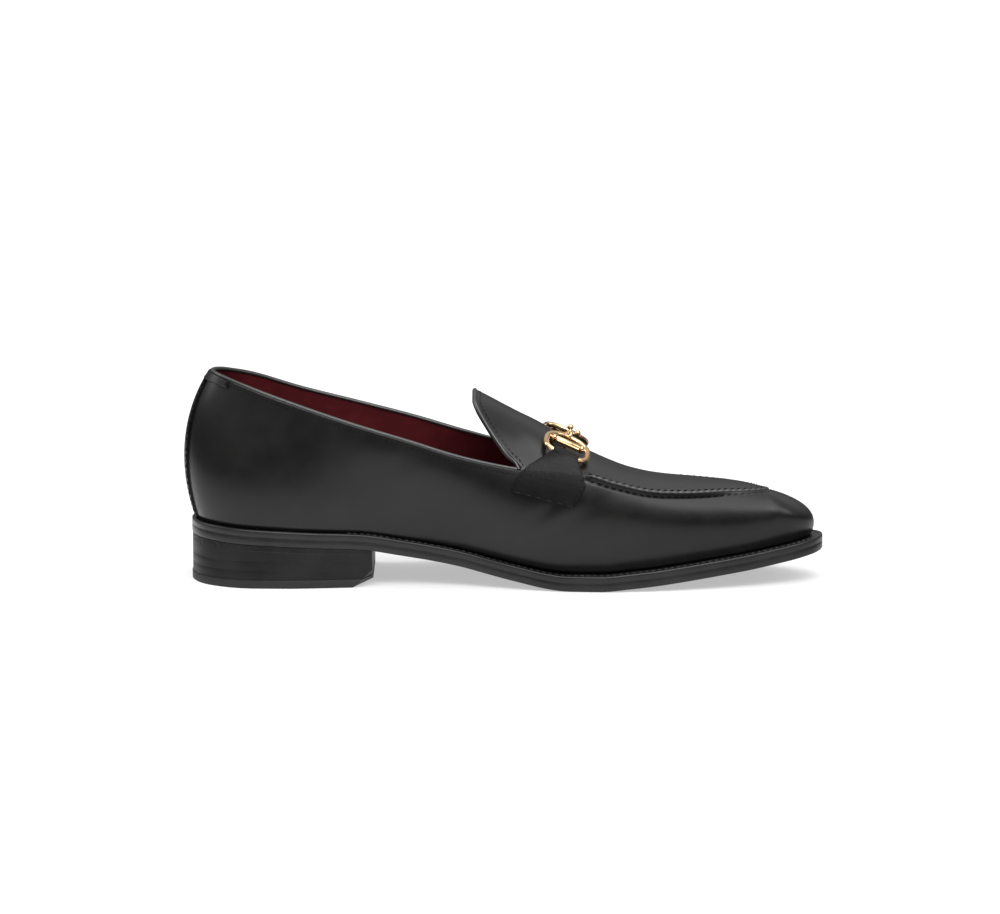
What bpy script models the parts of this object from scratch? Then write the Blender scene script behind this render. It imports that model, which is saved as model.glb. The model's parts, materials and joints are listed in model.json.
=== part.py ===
"""Bit loafer for the left foot, built piece by piece as a shoemaker builds it.

Metres, +Z up, toe towards +X, the inner (medial) side of the foot towards -Y.
The origin is the middle of the heel's resting face, on the floor.
Lengths along the shoe are measured from the back of the sole.
"""
import math
from collections import namedtuple

import bmesh
import bpy
import numpy as np
from mathutils import Vector
from mathutils.bvhtree import BVHTree

# Driving sizes
SOLE_LENGTH = 0.305
BALL_WIDTH = 0.1045
HEEL_LENGTH = 0.088
HEEL_HEIGHT = 0.0226
TOE_SPRING = 0.0144
COLLAR_HEIGHT = 0.1035
INSTEP_HEIGHT = 0.080

# Sole and heel
GAP = 0.0003
OUTSOLE_THICKNESS = 0.0043
WELT_THICKNESS = 0.0030
INSOLE_BOARD = 0.0024
WELT_JOINT = 0.074
FOOT_INSET = 0.0064
WELT_OVERLAP = 0.0040
EDGE_ROUNDING = 0.0005
TOP_PIECE_THICKNESS = 0.0040
LIFT_THICKNESS = 0.0043
LIFT_STEP = 0.0003
CORNER_LENGTH = 0.0095
CORNER_WIDTH = 0.0240
CORNER_HEIGHT = 0.0080

# Upper
WALL = 0.0018
CROWN_POWER = 2.3
SEAM_RISE = 0.0014
SEAM_START = 0.188
SEAM_FADE = 0.006
BINDING_WIDTH = 0.0026
BINDING_HEIGHT = 0.0015
COLLAR_BINDING_END = 0.0030
TONGUE_BINDING_END = 0.0120
BACKSTAY_THICKNESS = 0.0009
BACKSTAY_CLEARANCE = 0.0007
BACKSTAY_WIDTH = 0.0185
BAND_WIDTH = 0.074
BAND_FROM = 0.960
BACKSTAY_TO = 0.950

# Straps and bit
STRAP_THICKNESS = 0.0012
STRAP_CLEARANCE = 0.0012
RING_TUBE = 0.0023
RING_LENGTH = 0.0240
RING_WIDTH = 0.0205
RING_STATION = 0.1804
RING_SIDE = 0.0190
RING_SINK = 0.0010
RING_TOP_POWER = 2.4
RING_BAR_POWER = 6.0
ROLLER_LENGTH = 0.0128
ROLLER_DIAMETER = 0.0034
BEAD_DIAMETER = 0.0042
FOLD_WIDTH = 0.0124
LINK_WIRE = 0.0014
ARM_DIAMETER = 0.0022
EYE_RADIUS = 0.0024
EYE_OFFSET = 0.0014
LINK_RISE = 0.0046
LINK_AHEAD = 0.0030
KNOB_DIAMETER = 0.0030

# Facets
OUTLINE_SAMPLES = 720
SOLE_STATIONS = 40
HEEL_STATIONS = 18
RING_FACETS = 28
EYE_FACETS = 10
ROD_FACETS = 6
BINDING_FACETS = 6
BACKSTAY_COLUMNS = 5
BAND_COLUMNS = 19
WELT_STATIONS = 76
RAND_STATIONS = 34
EDGE_SHARE = 0.16
SMOOTH_ANGLE = 35
SLOPE_STEP = 0.001

Edge = namedtuple("Edge", "along across")
Profile = namedtuple("Profile", "along height")
Inset = namedtuple("Inset", "along feather")
Section = namedtuple("Section", "edge side top_along top_across top_height low_out high_out cuts")
Tongue = namedtuple("Tongue", "along half_width")
Ridge = namedtuple("Ridge", "along height")
Turning = namedtuple("Turning", "along radius")
StrapRow = namedtuple("StrapRow", "left_along left_turn right_along right_turn")

# Sole edge seen from above: shares of the sole's length and of the ball width,
# from the back of the heel along the inner side, round the toe and back along the outer side
SOLE_EDGE = (
    Edge(0.000, 0.000), Edge(0.018, -0.172), Edge(0.066, -0.282), Edge(0.148, -0.312),
    Edge(0.246, -0.288), Edge(0.344, -0.255), Edge(0.426, -0.270), Edge(0.508, -0.332),
    Edge(0.590, -0.385), Edge(0.656, -0.400), Edge(0.738, -0.382), Edge(0.836, -0.328),
    Edge(0.918, -0.255), Edge(0.965, -0.190), Edge(0.990, -0.115), Edge(1.000, -0.035),
    Edge(0.995, 0.050), Edge(0.975, 0.135), Edge(0.935, 0.235), Edge(0.885, 0.335),
    Edge(0.820, 0.445), Edge(0.721, 0.548), Edge(0.639, 0.582), Edge(0.557, 0.548),
    Edge(0.459, 0.458), Edge(0.361, 0.373), Edge(0.262, 0.344), Edge(0.148, 0.325),
    Edge(0.066, 0.290), Edge(0.018, 0.177),
)

# Underside of the outsole behind the tread: shares of the sole's length and of the heel height
SHANK_LINE = (
    Profile(0.000, 1.000), Profile(0.100, 0.925), Profile(0.200, 0.850), Profile(0.285, 0.775),
    Profile(0.330, 0.665), Profile(0.377, 0.560), Profile(0.426, 0.435), Profile(0.472, 0.290),
    Profile(0.520, 0.150), Profile(0.560, 0.045), Profile(0.590, 0.000), Profile(0.620, 0.000),
)

# Underside in front of the tread: shares of the sole's length and of the toe spring
SPRING_LINE = (
    Profile(0.620, 0.000), Profile(0.650, 0.000), Profile(0.688, 0.075), Profile(0.735, 0.175),
    Profile(0.780, 0.300), Profile(0.830, 0.445), Profile(0.875, 0.575), Profile(0.925, 0.745),
    Profile(0.970, 0.900), Profile(1.000, 1.000),
)

# Where the upper's foot stands inside the sole edge: shares of the sole's length and of the
# widest inset
INSETS = (
    Inset(0.00, 0.34), Inset(0.25, 0.34), Inset(0.36, 0.47), Inset(0.50, 0.70),
    Inset(0.62, 0.97), Inset(0.85, 1.00), Inset(1.00, 0.875),
)

# Upper's wall: a row for each section. Shares of the sole's length for the place along the
# sole edge, then of the length, ball width and collar height for the top line or apron seam,
# then of the wall's own height for its swell low and high, and the facets up to the next row
SECTIONS = (
    Section(0.000, -1, 0.031, 0.000, 0.974, 0.118, 0.190, 3),
    Section(0.045, -1, 0.052, -0.130, 0.960, 0.115, 0.145, 2),
    Section(0.120, -1, 0.100, -0.230, 0.917, 0.100, 0.085, 2),
    Section(0.200, -1, 0.172, -0.275, 0.845, 0.085, 0.060, 2),
    Section(0.285, -1, 0.255, -0.306, 0.766, 0.100, 0.050, 2),
    Section(0.365, -1, 0.345, -0.328, 0.689, 0.160, 0.060, 2),
    Section(0.445, -1, 0.428, -0.340, 0.616, 0.190, 0.080, 2),
    Section(0.520, -1, 0.521, -0.340, 0.560, 0.190, 0.110, 4),
    Section(0.605, -1, 0.612, -0.364, 0.549, 0.170, 0.150, 3),
    Section(0.675, -1, 0.670, -0.352, 0.497, 0.150, 0.190, 3),
    Section(0.740, -1, 0.725, -0.325, 0.456, 0.150, 0.250, 3),
    Section(0.805, -1, 0.790, -0.270, 0.441, 0.150, 0.330, 3),
    Section(0.865, -1, 0.850, -0.208, 0.441, 0.150, 0.400, 3),
    Section(0.925, -1, 0.897, -0.142, 0.438, 0.150, 0.640, 1),
    Section(0.945, -1, 0.906, -0.120, 0.436, 0.150, 0.800, 5),
    Section(1.000, 1, 0.903, 0.000, 0.424, 0.155, 1.150, 5),
    Section(0.940, 1, 0.883, 0.140, 0.409, 0.150, 0.700, 1),
    Section(0.920, 1, 0.874, 0.162, 0.410, 0.150, 0.560, 3),
    Section(0.855, 1, 0.835, 0.235, 0.412, 0.150, 0.400, 3),
    Section(0.795, 1, 0.785, 0.305, 0.413, 0.150, 0.330, 3),
    Section(0.730, 1, 0.725, 0.362, 0.417, 0.150, 0.250, 3),
    Section(0.665, 1, 0.670, 0.392, 0.452, 0.160, 0.190, 3),
    Section(0.600, 1, 0.612, 0.392, 0.515, 0.170, 0.150, 4),
    Section(0.515, 1, 0.521, 0.352, 0.560, 0.150, 0.110, 2),
    Section(0.435, 1, 0.428, 0.345, 0.632, 0.130, 0.080, 2),
    Section(0.355, 1, 0.345, 0.332, 0.706, 0.105, 0.060, 2),
    Section(0.280, 1, 0.255, 0.310, 0.778, 0.090, 0.050, 2),
    Section(0.200, 1, 0.172, 0.280, 0.845, 0.090, 0.060, 2),
    Section(0.120, 1, 0.100, 0.232, 0.917, 0.105, 0.085, 2),
    Section(0.045, 1, 0.052, 0.132, 0.960, 0.115, 0.145, 3),
)
INNER_THROAT = 7
INNER_CORNER = 14
OUTER_CORNER = 16
OUTER_THROAT = 23
WALL_ROWS = (0.0, 0.11, 0.23, 0.37, 0.52, 0.67, 0.81, 0.92, 0.965, 1.0)
APRON_COLUMNS = (0.0, 0.035, 0.125, 0.25, 0.375, 0.5, 0.625, 0.75, 0.875, 0.965, 1.0)
LOW_HANDLE = 0.35
HIGH_HANDLE = 0.30

# Tongue behind the throat: shares of the sole's length and of the ball width
TONGUE = (
    Tongue(0.451, 0.135), Tongue(0.4555, 0.175), Tongue(0.462, 0.207), Tongue(0.477, 0.254),
    Tongue(0.499, 0.302), Tongue(0.513, 0.316),
)

# Crest of tongue and apron: shares of the sole's length and of the instep height
CREST = (
    Ridge(0.440, 1.160), Ridge(0.492, 1.056), Ridge(0.521, 0.995), Ridge(0.544, 0.957),
    Ridge(0.567, 0.902), Ridge(0.600, 0.816), Ridge(0.639, 0.740), Ridge(0.662, 0.701),
    Ridge(0.685, 0.666), Ridge(0.712, 0.637), Ridge(0.750, 0.612), Ridge(0.806, 0.594),
    Ridge(0.853, 0.585), Ridge(0.885, 0.568), Ridge(0.903, 0.550),
)

# Strap tab from its lower edge up to the fold over the ring: shares of the sole's length, and
# degrees above the level seen along the shoe from a point inside the instep
STRAP = (
    StrapRow(0.507, 19.3, 0.604, 8.6), StrapRow(0.511, 24.0, 0.610, 13.0),
    StrapRow(0.516, 28.8, 0.616, 17.4), StrapRow(0.5225, 31.8, 0.621, 21.9),
    StrapRow(0.536, 35.7, 0.617, 27.5), StrapRow(0.557, 40.6, 0.613, 33.8),
    StrapRow(0.568, 45.2, 0.609, 39.5),
)

# Turned parts of the bit: shares of their length, and of the radius of arm or knob
ARM = (
    Turning(0.0, 0.64), Turning(0.3, 1.0), Turning(0.5, 1.25), Turning(0.7, 1.0),
    Turning(1.0, 0.64),
)
KNOB = (
    Turning(0.08, 0.54), Turning(0.3, 0.92), Turning(0.5, 1.0), Turning(0.7, 0.92),
    Turning(0.92, 0.54),
)

# One end of the roller: shares of the ring's inner length before the roller, and of the bead's
# radius; the other end mirrors it
BEAD_ROWS = (Turning(-0.070, 0.8), Turning(-0.035, 1.0), Turning(0.0, 0.8))
PIN_START = 0.02
PIN_SHARE = 0.42
KNOB_SINK = 0.35

GIRTH_CENTRE = 0.607
RING_REACH_ALONG = 0.008
RING_REACH_ACROSS = 0.007
TRIM_MARGIN = 1.6
ASIDE = (0.3, 0.2, 1.0)
STRAP_COLUMNS = 7
FOLD_START = 150
FOLD_TURN = 250
FOLD_FACETS = 8


def remove_objects():
    """Empties the scene."""
    for item in list(bpy.data.objects):
        bpy.data.objects.remove(item, do_unlink=True)


def finish(name, colour, roughness, metallic=0.0):
    """A Principled material for one piece."""
    material = bpy.data.materials.new(name + "_finish")
    material.use_nodes = True
    shader = material.node_tree.nodes["Principled BSDF"]
    shader.inputs["Base Color"].default_value = (*colour, 1.0)
    shader.inputs["Roughness"].default_value = roughness
    shader.inputs["Metallic"].default_value = metallic
    return material


def place(name, points, faces, look, closed=True):
    """Makes one named object from points measured from the back of the sole."""
    mesh = bpy.data.meshes.new(name)
    shift = Vector((HEEL_LENGTH / 2, 0.0, 0.0))
    mesh.from_pydata([Vector(point) - shift for point in points], [], faces)
    if closed:
        body = bmesh.new()
        body.from_mesh(mesh)
        bmesh.ops.recalc_face_normals(body, faces=body.faces)
        body.to_mesh(mesh)
        body.free()
    mesh.shade_smooth()
    mesh.set_sharp_from_angle(angle=math.radians(SMOOTH_ANGLE))
    item = bpy.data.objects.new(name, mesh)
    mesh.materials.append(finish(name, *look))
    bpy.context.scene.collection.objects.link(item)
    return item


def spline(knots, values, at, period=None):
    """Smooth curve through rows of values at rising knots, closed if a period is given."""
    knots = np.asarray(knots, float)
    values = np.asarray(values, float).reshape(len(knots), -1)
    at = np.asarray(at, float)
    if period is None:
        keys = np.r_[2 * knots[0] - knots[1], knots, 2 * knots[-1] - knots[-2]]
        rows = np.vstack([2 * values[0] - values[1], values, 2 * values[-1] - values[-2]])
        at = np.clip(at, knots[0], knots[-1])
    else:
        keys = np.r_[knots[-1] - period, knots, knots[0] + period, knots[1] + period]
        rows = np.vstack([values[-1], values, values[0], values[1]])
        at = (at - knots[0]) % period + knots[0]
    step = np.diff(keys)[:, None]
    slope = np.diff(rows, axis=0) / step
    tangent = (slope[:-1] * step[1:] + slope[1:] * step[:-1]) / (step[:-1] + step[1:])
    cell = np.clip(np.searchsorted(keys[1:-1], at, side="right") - 1, 0, len(tangent) - 2)
    width = step[cell + 1]
    t = ((at - keys[cell + 1])[:, None]) / width
    start, end = rows[cell + 1], rows[cell + 2]
    first = (2 * t ** 3 - 3 * t ** 2 + 1) * start + (t ** 3 - 2 * t ** 2 + t) * width * tangent[cell]
    second = (3 * t ** 2 - 2 * t ** 3) * end + (t ** 3 - t ** 2) * width * tangent[cell + 1]
    return first + second


def column(rows, name, scale=1.0):
    """One column of a table as an array of lengths."""
    return np.array([getattr(row, name) for row in rows]) * scale


def edge_knots():
    """Points of the sole edge and their running distance round it."""
    points = np.column_stack([column(SOLE_EDGE, "along", SOLE_LENGTH),
                              column(SOLE_EDGE, "across", BALL_WIDTH)])
    steps = np.linalg.norm(np.diff(np.vstack([points, points[:1]]), axis=0), axis=1)
    return points, np.r_[0.0, np.cumsum(steps)[:-1]], steps.sum()


def sole_edge(at, inset=0.0):
    """Points of the sole edge at shares of the way round it, moved inwards by an inset."""
    points, knots, period = edge_knots()
    at = np.asarray(at, float) * period
    here = spline(knots, points, at, period)
    step = period / OUTLINE_SAMPLES / 10
    ahead = spline(knots, points, at + step, period) - spline(knots, points, at - step, period)
    ahead /= np.linalg.norm(ahead, axis=1)[:, None]
    outward = np.column_stack([ahead[:, 1], -ahead[:, 0]])
    return here - outward * np.asarray(inset).reshape(-1, 1), outward


def way_round(along, side):
    """Share of the way round the sole edge at a length along one side of it."""
    shares = np.linspace(0.0, 1.0, OUTLINE_SAMPLES, endpoint=False)
    points, _ = sole_edge(shares)
    tip = int(np.argmax(points[:, 0]))
    if side < 0:
        return float(np.interp(along, points[:tip + 1, 0], shares[:tip + 1]))
    return float(np.interp(-along, -points[tip:, 0], shares[tip:]))


def foot_inset(along):
    """Inset of the upper's foot at lengths along the sole."""
    insets = column(INSETS, "feather", FOOT_INSET)
    return spline(column(INSETS, "along", SOLE_LENGTH), insets, along)[:, 0]


def tread(along):
    """Height of the outsole's underside at lengths along the sole."""
    along = np.atleast_1d(along)
    behind = spline(column(SHANK_LINE, "along", SOLE_LENGTH),
                    column(SHANK_LINE, "height", HEEL_HEIGHT), along)[:, 0]
    before = spline(column(SPRING_LINE, "along", SOLE_LENGTH),
                    column(SPRING_LINE, "height", TOE_SPRING), along)[:, 0]
    middle = SHANK_LINE[-1].along * SOLE_LENGTH
    return np.maximum(np.where(along < middle, behind, before), 0.0)


def outsole_top(along):
    """Height of the outsole's upper face."""
    return tread(along) + OUTSOLE_THICKNESS


def welt_top(along):
    """Height of the welt's upper face."""
    return outsole_top(along) + GAP + WELT_THICKNESS


def rungs(inset, start=None, stop=None, extra=(), stations=SOLE_STATIONS):
    """Lengths along the sole with the inner and outer edge at each, inset from the sole edge."""
    shares = np.linspace(0.0, 1.0, OUTLINE_SAMPLES * 4, endpoint=False)
    points, _ = sole_edge(shares)
    amount = inset(points[:, 0]) if callable(inset) else np.full(len(points), inset)
    points, _ = sole_edge(shares, amount)
    tip = int(np.argmax(points[:, 0]))
    back = int(np.argmin(points[:, 0]))
    points = np.roll(points, -back, axis=0)
    tip = (tip - back) % len(points)
    inner = points[:tip + 1]
    outer = np.vstack([points[tip:], points[:1]])[::-1]
    low = inner[0, 0] if start is None else start
    high = inner[-1, 0] if stop is None else stop
    turn = np.linspace(0.0, math.pi, stations + 1)
    along = low + (high - low) * (1 - np.cos(turn)) / 2
    along = np.unique(np.round(np.r_[along, [x for x in extra if low < x < high]], 6))
    along[0], along[-1] = low, high
    inner_side = np.interp(along, inner[:, 0], inner[:, 1])
    outer_side = np.interp(along, outer[:, 0], outer[:, 1])
    return along, inner_side, outer_side


def slab(name, look, inset, low, high, start=None, stop=None, extra=(), stations=SOLE_STATIONS):
    """Closed slab inside the sole edge between two heights that change along the sole."""
    sides = ((EDGE_ROUNDING, 0.0), (0.0, EDGE_SHARE), (0.0, 1 - EDGE_SHARE), (EDGE_ROUNDING, 1.0))
    points, rows, layers = [], [], []
    for shrink, share in sides:
        amount = (lambda x, s=shrink: inset(x) + s) if callable(inset) else inset + shrink
        first = start + shrink if start is not None else None
        last = stop - shrink if stop is not None else None
        layers.append((share, rungs(amount, first, last, extra, stations)))
    count = min(len(layer[1][0]) for layer in layers)
    for share, (along, inner, outer) in layers:
        bottom, top = low(along), high(along)
        height = bottom + (top - bottom) * share
        ring = []
        for index in range(count):
            ring.append(len(points))
            points.append((along[index], inner[index], height[index]))
        back_row = []
        for index in range(count):
            if abs(outer[index] - inner[index]) < 1e-6:
                back_row.append(ring[index])
                continue
            back_row.append(len(points))
            points.append((along[index], outer[index], height[index]))
        rows.append((ring, back_row))
    faces = []
    for lower, upper in zip(rows, rows[1:]):
        for side in (0, 1):
            for a, b, c, d in zip(lower[side], lower[side][1:], upper[side][1:], upper[side]):
                faces.append((a, b, c, d))
        for end in (0, -1):
            if lower[0][end] != lower[1][end]:
                faces.append((lower[0][end], lower[1][end], upper[1][end], upper[0][end]))
    for ring, other in (rows[0], rows[-1]):
        for a, b, c, d in zip(ring, ring[1:], other[1:], other):
            faces.append(tuple(dict.fromkeys((a, b, c, d))))
    return place(name, points, faces, look)


def strip(name, look, width, low, high, start, stop, count):
    """Closed strip along the sole edge, as wide as the table says."""
    shares = np.linspace(start, stop, count)
    outer, _ = sole_edge(shares)
    inner, _ = sole_edge(shares, width(outer[:, 0]))
    soft, _ = sole_edge(shares, EDGE_ROUNDING)
    outline = ((soft, low, 0.0), (outer, low, EDGE_ROUNDING), (outer, high, -EDGE_ROUNDING),
               (soft, high, 0.0), (inner, high, 0.0), (inner, low, 0.0))
    points = []
    for line, level, rise in outline:
        heights = level(line[:, 0]) + rise
        points += [(*xy, z) for xy, z in zip(line, heights)]
    faces = []
    layers = len(outline)
    for layer in range(layers):
        here, other = layer * count, (layer + 1) % layers * count
        for k in range(count - 1):
            faces.append((here + k, here + k + 1, other + k + 1, other + k))
    for end in (0, count - 1):
        faces.append(tuple(layer * count + end for layer in range(layers)))
    return place(name, points, faces, look)


def cut_corner(item):
    """Cuts the slanting corner off the inner front corner of a heel piece."""
    _, inner, _ = rungs(0.0, HEEL_LENGTH - CORNER_LENGTH, HEEL_LENGTH)
    side = inner[-1]
    shift = HEEL_LENGTH / 2
    one = Vector((HEEL_LENGTH - CORNER_LENGTH - shift, inner[0], 0.0))
    two = Vector((HEEL_LENGTH - shift, side + CORNER_WIDTH, 0.0))
    three = Vector((HEEL_LENGTH - shift, side, CORNER_HEIGHT))
    normal = (two - one).cross(three - one).normalized()
    if normal.x < 0:
        normal = -normal
    body = bmesh.new()
    body.from_mesh(item.data)
    geometry = body.verts[:] + body.edges[:] + body.faces[:]
    result = bmesh.ops.bisect_plane(body, geom=geometry, dist=1e-7, plane_co=one, plane_no=normal,
                                    clear_outer=True)
    rim = [part for part in result["geom_cut"] if isinstance(part, bmesh.types.BMEdge)]
    if rim:
        bmesh.ops.contextual_create(body, geom=rim)
    bmesh.ops.recalc_face_normals(body, faces=body.faces)
    body.to_mesh(item.data)
    body.free()


def build_sole():
    """Outsole, welt, seat rand, insole and the stacked heel."""
    edge_black = ((0.012, 0.012, 0.013), 0.42)
    flat_start, flat_end = SHANK_LINE[-2].along * SOLE_LENGTH, SPRING_LINE[1].along * SOLE_LENGTH
    slab("outsole", edge_black, 0.0, tread, outsole_top,
         extra=(HEEL_LENGTH, flat_start, flat_end))

    def welt_width(along):
        return foot_inset(along) + WELT_OVERLAP

    def welt_bottom(along):
        return outsole_top(along) + GAP

    joint_inner = way_round(WELT_JOINT, -1)
    joint_outer = way_round(WELT_JOINT, 1)
    trim = GAP / 2 / edge_knots()[2]
    strip("welt", edge_black, welt_width, welt_bottom, welt_top,
          joint_inner + trim, joint_outer - trim, WELT_STATIONS)
    strip("seat_rand", edge_black, welt_width, welt_bottom, welt_top,
          joint_outer + trim, joint_inner + 1 - trim, RAND_STATIONS)

    def insole_inset(along):
        return welt_width(along) + GAP

    def insole_top(along):
        return welt_top(along) + INSOLE_BOARD

    slab("insole", ((0.35, 0.06, 0.06), 0.55), insole_inset, welt_bottom, insole_top)

    def level(height):
        return lambda along: np.full(len(along), height)

    below = TOP_PIECE_THICKNESS
    piece = slab("top_piece", ((0.015, 0.015, 0.015), 0.6), 0.0, level(0.0), level(below),
                 0.0, HEEL_LENGTH, stations=HEEL_STATIONS)
    cut_corner(piece)
    leather_black = ((0.014, 0.013, 0.013), 0.45)
    for number, step in ((3, 1), (2, 2)):
        base = below + GAP
        below = base + LIFT_THICKNESS
        piece = slab(f"heel_lift_{number}", leather_black, LIFT_STEP * step, level(base), level(below),
                     LIFT_STEP * step, HEEL_LENGTH - LIFT_STEP, stations=HEEL_STATIONS)
        cut_corner(piece)

    def under_outsole(along):
        return tread(along) - GAP

    slab("heel_lift_1", leather_black, LIFT_STEP * 2, level(below + GAP), under_outsole,
         LIFT_STEP * 2, HEEL_LENGTH - LIFT_STEP, stations=HEEL_STATIONS)


def top_height(row):
    """Height of a section's top."""
    return row.top_height * COLLAR_HEIGHT


class Wall:
    """The upper's outer face from the sole up to the top line and the apron seam."""

    def __init__(self):
        self.knots = np.array([way_round(row.edge * SOLE_LENGTH, row.side) for row in SECTIONS])
        self.knots[0] = 0.0
        self.table = np.column_stack([
            column(SECTIONS, "top_along", SOLE_LENGTH),
            column(SECTIONS, "top_across", BALL_WIDTH),
            column(SECTIONS, "top_height", COLLAR_HEIGHT),
            column(SECTIONS, "low_out"),
            column(SECTIONS, "high_out"),
        ])

    def stations(self):
        """Shares of the way round for each facet, and the station number of each row."""
        result, numbers = [], []
        ends = np.r_[self.knots[1:], self.knots[0] + 1.0]
        for row, start, end in zip(SECTIONS, self.knots, ends):
            numbers.append(len(result))
            result += list(np.linspace(start, end, row.cuts, endpoint=False))
        return np.array(result), numbers

    def points(self, around, up):
        """Outer points at shares of the way round and of the way up, one for each pair."""
        around = np.asarray(around, float)
        up = np.asarray(up, float)[:, None]
        plain, _ = sole_edge(around)
        edge, outward = sole_edge(around, foot_inset(plain[:, 0]))
        foot = np.column_stack([edge, welt_top(edge[:, 0]) + GAP])
        values = spline(self.knots, self.table, around, 1.0)
        top = values[:, :3]
        height = (top[:, 2] - foot[:, 2])[:, None]
        out = np.column_stack([outward, np.zeros(len(around))])
        lift = np.array([0.0, 0.0, 1.0])
        low = foot + out * values[:, 3:4] * height + lift * height * LOW_HANDLE
        high = top + out * values[:, 4:5] * height - lift * height * HIGH_HANDLE
        return ((1 - up) ** 3 * foot + 3 * (1 - up) ** 2 * up * low
                + 3 * (1 - up) * up ** 2 * high + up ** 3 * top)

    def normals(self, around, up):
        """Outward normals at the same pairs."""
        around = np.asarray(around, float)
        up = np.asarray(up, float)
        high, low = np.minimum(up + SLOPE_STEP, 1.0), np.maximum(up - SLOPE_STEP, 0.0)
        rise = self.points(around, high) - self.points(around, low)
        ahead = self.points(around + SLOPE_STEP, up) - self.points(around - SLOPE_STEP, up)
        normal = np.cross(ahead, rise)
        return normal / np.linalg.norm(normal, axis=1)[:, None]


def crest(along):
    """Height of the crest of tongue and apron."""
    heights = column(CREST, "height", INSTEP_HEIGHT)
    return spline(column(CREST, "along", SOLE_LENGTH), heights, along)[:, 0]


def seam_rise(along):
    """Rise of the hand-sewn seam, fading out where the strap covers it."""
    share = np.clip((along - SEAM_START) / SEAM_FADE, 0.0, 1.0)
    return SEAM_RISE * share * share * (3 - 2 * share)


def apron_rung(inner, outer, columns):
    """Points across the apron from its inner to its outer edge, crowned up to the crest."""
    share = np.asarray(columns)[:, None]
    base = inner + (outer - inner) * share
    middle = (inner[2] + outer[2]) / 2
    rise = crest(base[:, 0]) - middle
    base[:, 2] += rise * (1 - np.abs(2 * share[:, 0] - 1) ** CROWN_POWER)
    return base


def tongue_rows():
    """Ends of the tongue's rungs behind the throat, from its tip."""
    rows = []
    throat = SECTIONS[INNER_THROAT]
    full = crest([throat.top_along * SOLE_LENGTH])[0] - top_height(throat)
    half = -throat.top_across * BALL_WIDTH
    radius = (half ** 2 + full ** 2) / (2 * full)
    for row in TONGUE:
        along = row.along * SOLE_LENGTH
        width = row.half_width * BALL_WIDTH
        drop = radius - math.sqrt(radius ** 2 - width ** 2)
        height = crest([along])[0] - drop
        rows.append((np.array([along, -width, height]), np.array([along, width, height])))
    return rows


def upper_sheet():
    """Points and faces of the upper's outer face, with the free edges' point numbers."""
    wall = Wall()
    around, numbers = wall.stations()
    count = len(around)
    points, faces = [], []
    for up in WALL_ROWS:
        ring = wall.points(around, np.full(count, up))
        points += list(ring)
    last = (len(WALL_ROWS) - 1) * count
    for level in range(len(WALL_ROWS) - 1):
        for k in range(count):
            a, b = level * count + k, level * count + (k + 1) % count
            faces.append((a, b, b + count, a + count))
    throat_in, corner_in = numbers[INNER_THROAT], numbers[INNER_CORNER]
    corner_out, throat_out = numbers[OUTER_CORNER], numbers[OUTER_THROAT]
    normals = wall.normals(around, np.full(count, 1.0))
    for k in range(throat_in, throat_out + 1):
        lean = normals[k] + np.array([0.0, 0.0, 1.0])
        lean /= np.linalg.norm(lean)
        points[last + k] = points[last + k] + lean * seam_rise(points[last + k][0])

    grid = []
    for inner, outer in tongue_rows():
        rung = apron_rung(inner, outer, APRON_COLUMNS)
        grid.append(list(range(len(points), len(points) + len(rung))))
        points += list(rung)
    tongue_count = len(grid)
    for step in range(corner_in - throat_in):
        left, right = last + throat_in + step, last + throat_out - step
        base_left, base_right = points[left].copy(), points[right].copy()
        rung = apron_rung(base_left, base_right, APRON_COLUMNS)
        row = [left]
        for point in rung[1:-1]:
            row.append(len(points))
            points.append(point)
        grid.append(row + [right])
    grid.append([last + k for k in range(corner_in, corner_out + 1)])
    for row, following in zip(grid, grid[1:]):
        for j in range(len(row) - 1):
            faces.append((row[j], following[j], following[j + 1], row[j + 1]))

    collar = [last + k % count for k in range(throat_out, throat_in + count + 1)]
    tongue = [row[0] for row in grid[tongue_count::-1]] + grid[0][1:-1]
    tongue += [row[-1] for row in grid[:tongue_count + 1]]
    return points, faces, collar, tongue


def build_upper():
    """The upper: side walls, apron and tongue as one wall of leather."""
    calf = ((0.010, 0.010, 0.011), 0.28)
    points, faces, collar, tongue = upper_sheet()
    item = place("upper", points, faces, calf, closed=False)
    normals = [vertex.normal.copy() for vertex in item.data.vertices]
    thick = item.modifiers.new("leather", "SOLIDIFY")
    thick.thickness = WALL
    thick.offset = -1.0
    thick.use_even_offset = False
    tree = BVHTree.FromPolygons([Vector(point) for point in points], faces)
    build_binding("collar_binding", points, normals, collar, COLLAR_BINDING_END)
    build_binding("tongue_binding", points, normals, tongue, TONGUE_BINDING_END)
    return tree


def frames_along(path):
    """Unit tangents of a path of points, and how far a mitre reaches at each."""
    legs = np.diff(np.asarray(path), axis=0)
    legs /= np.linalg.norm(legs, axis=1)[:, None]
    ahead = np.vstack([legs[:1], legs[:-1] + legs[1:], legs[-1:]])
    ahead /= np.linalg.norm(ahead, axis=1)[:, None]
    reach = 1 / np.sum(ahead * np.vstack([legs, legs[-1:]]), axis=1)
    return ahead, reach


def unit(vector):
    """A vector of length one."""
    vector = np.asarray(vector, float)
    return vector / np.linalg.norm(vector)


def trim_path(path, amount, extra):
    """Shortens a path by an amount at each end, carrying rows of other values along it."""
    length = np.r_[0.0, np.cumsum(np.linalg.norm(np.diff(path, axis=0), axis=1))]
    margin = amount * TRIM_MARGIN
    inside = length[(length > margin) & (length < length[-1] - margin)]
    at = np.r_[amount, inside, length[-1] - amount]
    cut = np.column_stack([np.interp(at, length, path[:, i]) for i in range(3)])
    kept = np.column_stack([np.interp(at, length, extra[:, i]) for i in range(3)])
    return cut, kept


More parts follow.
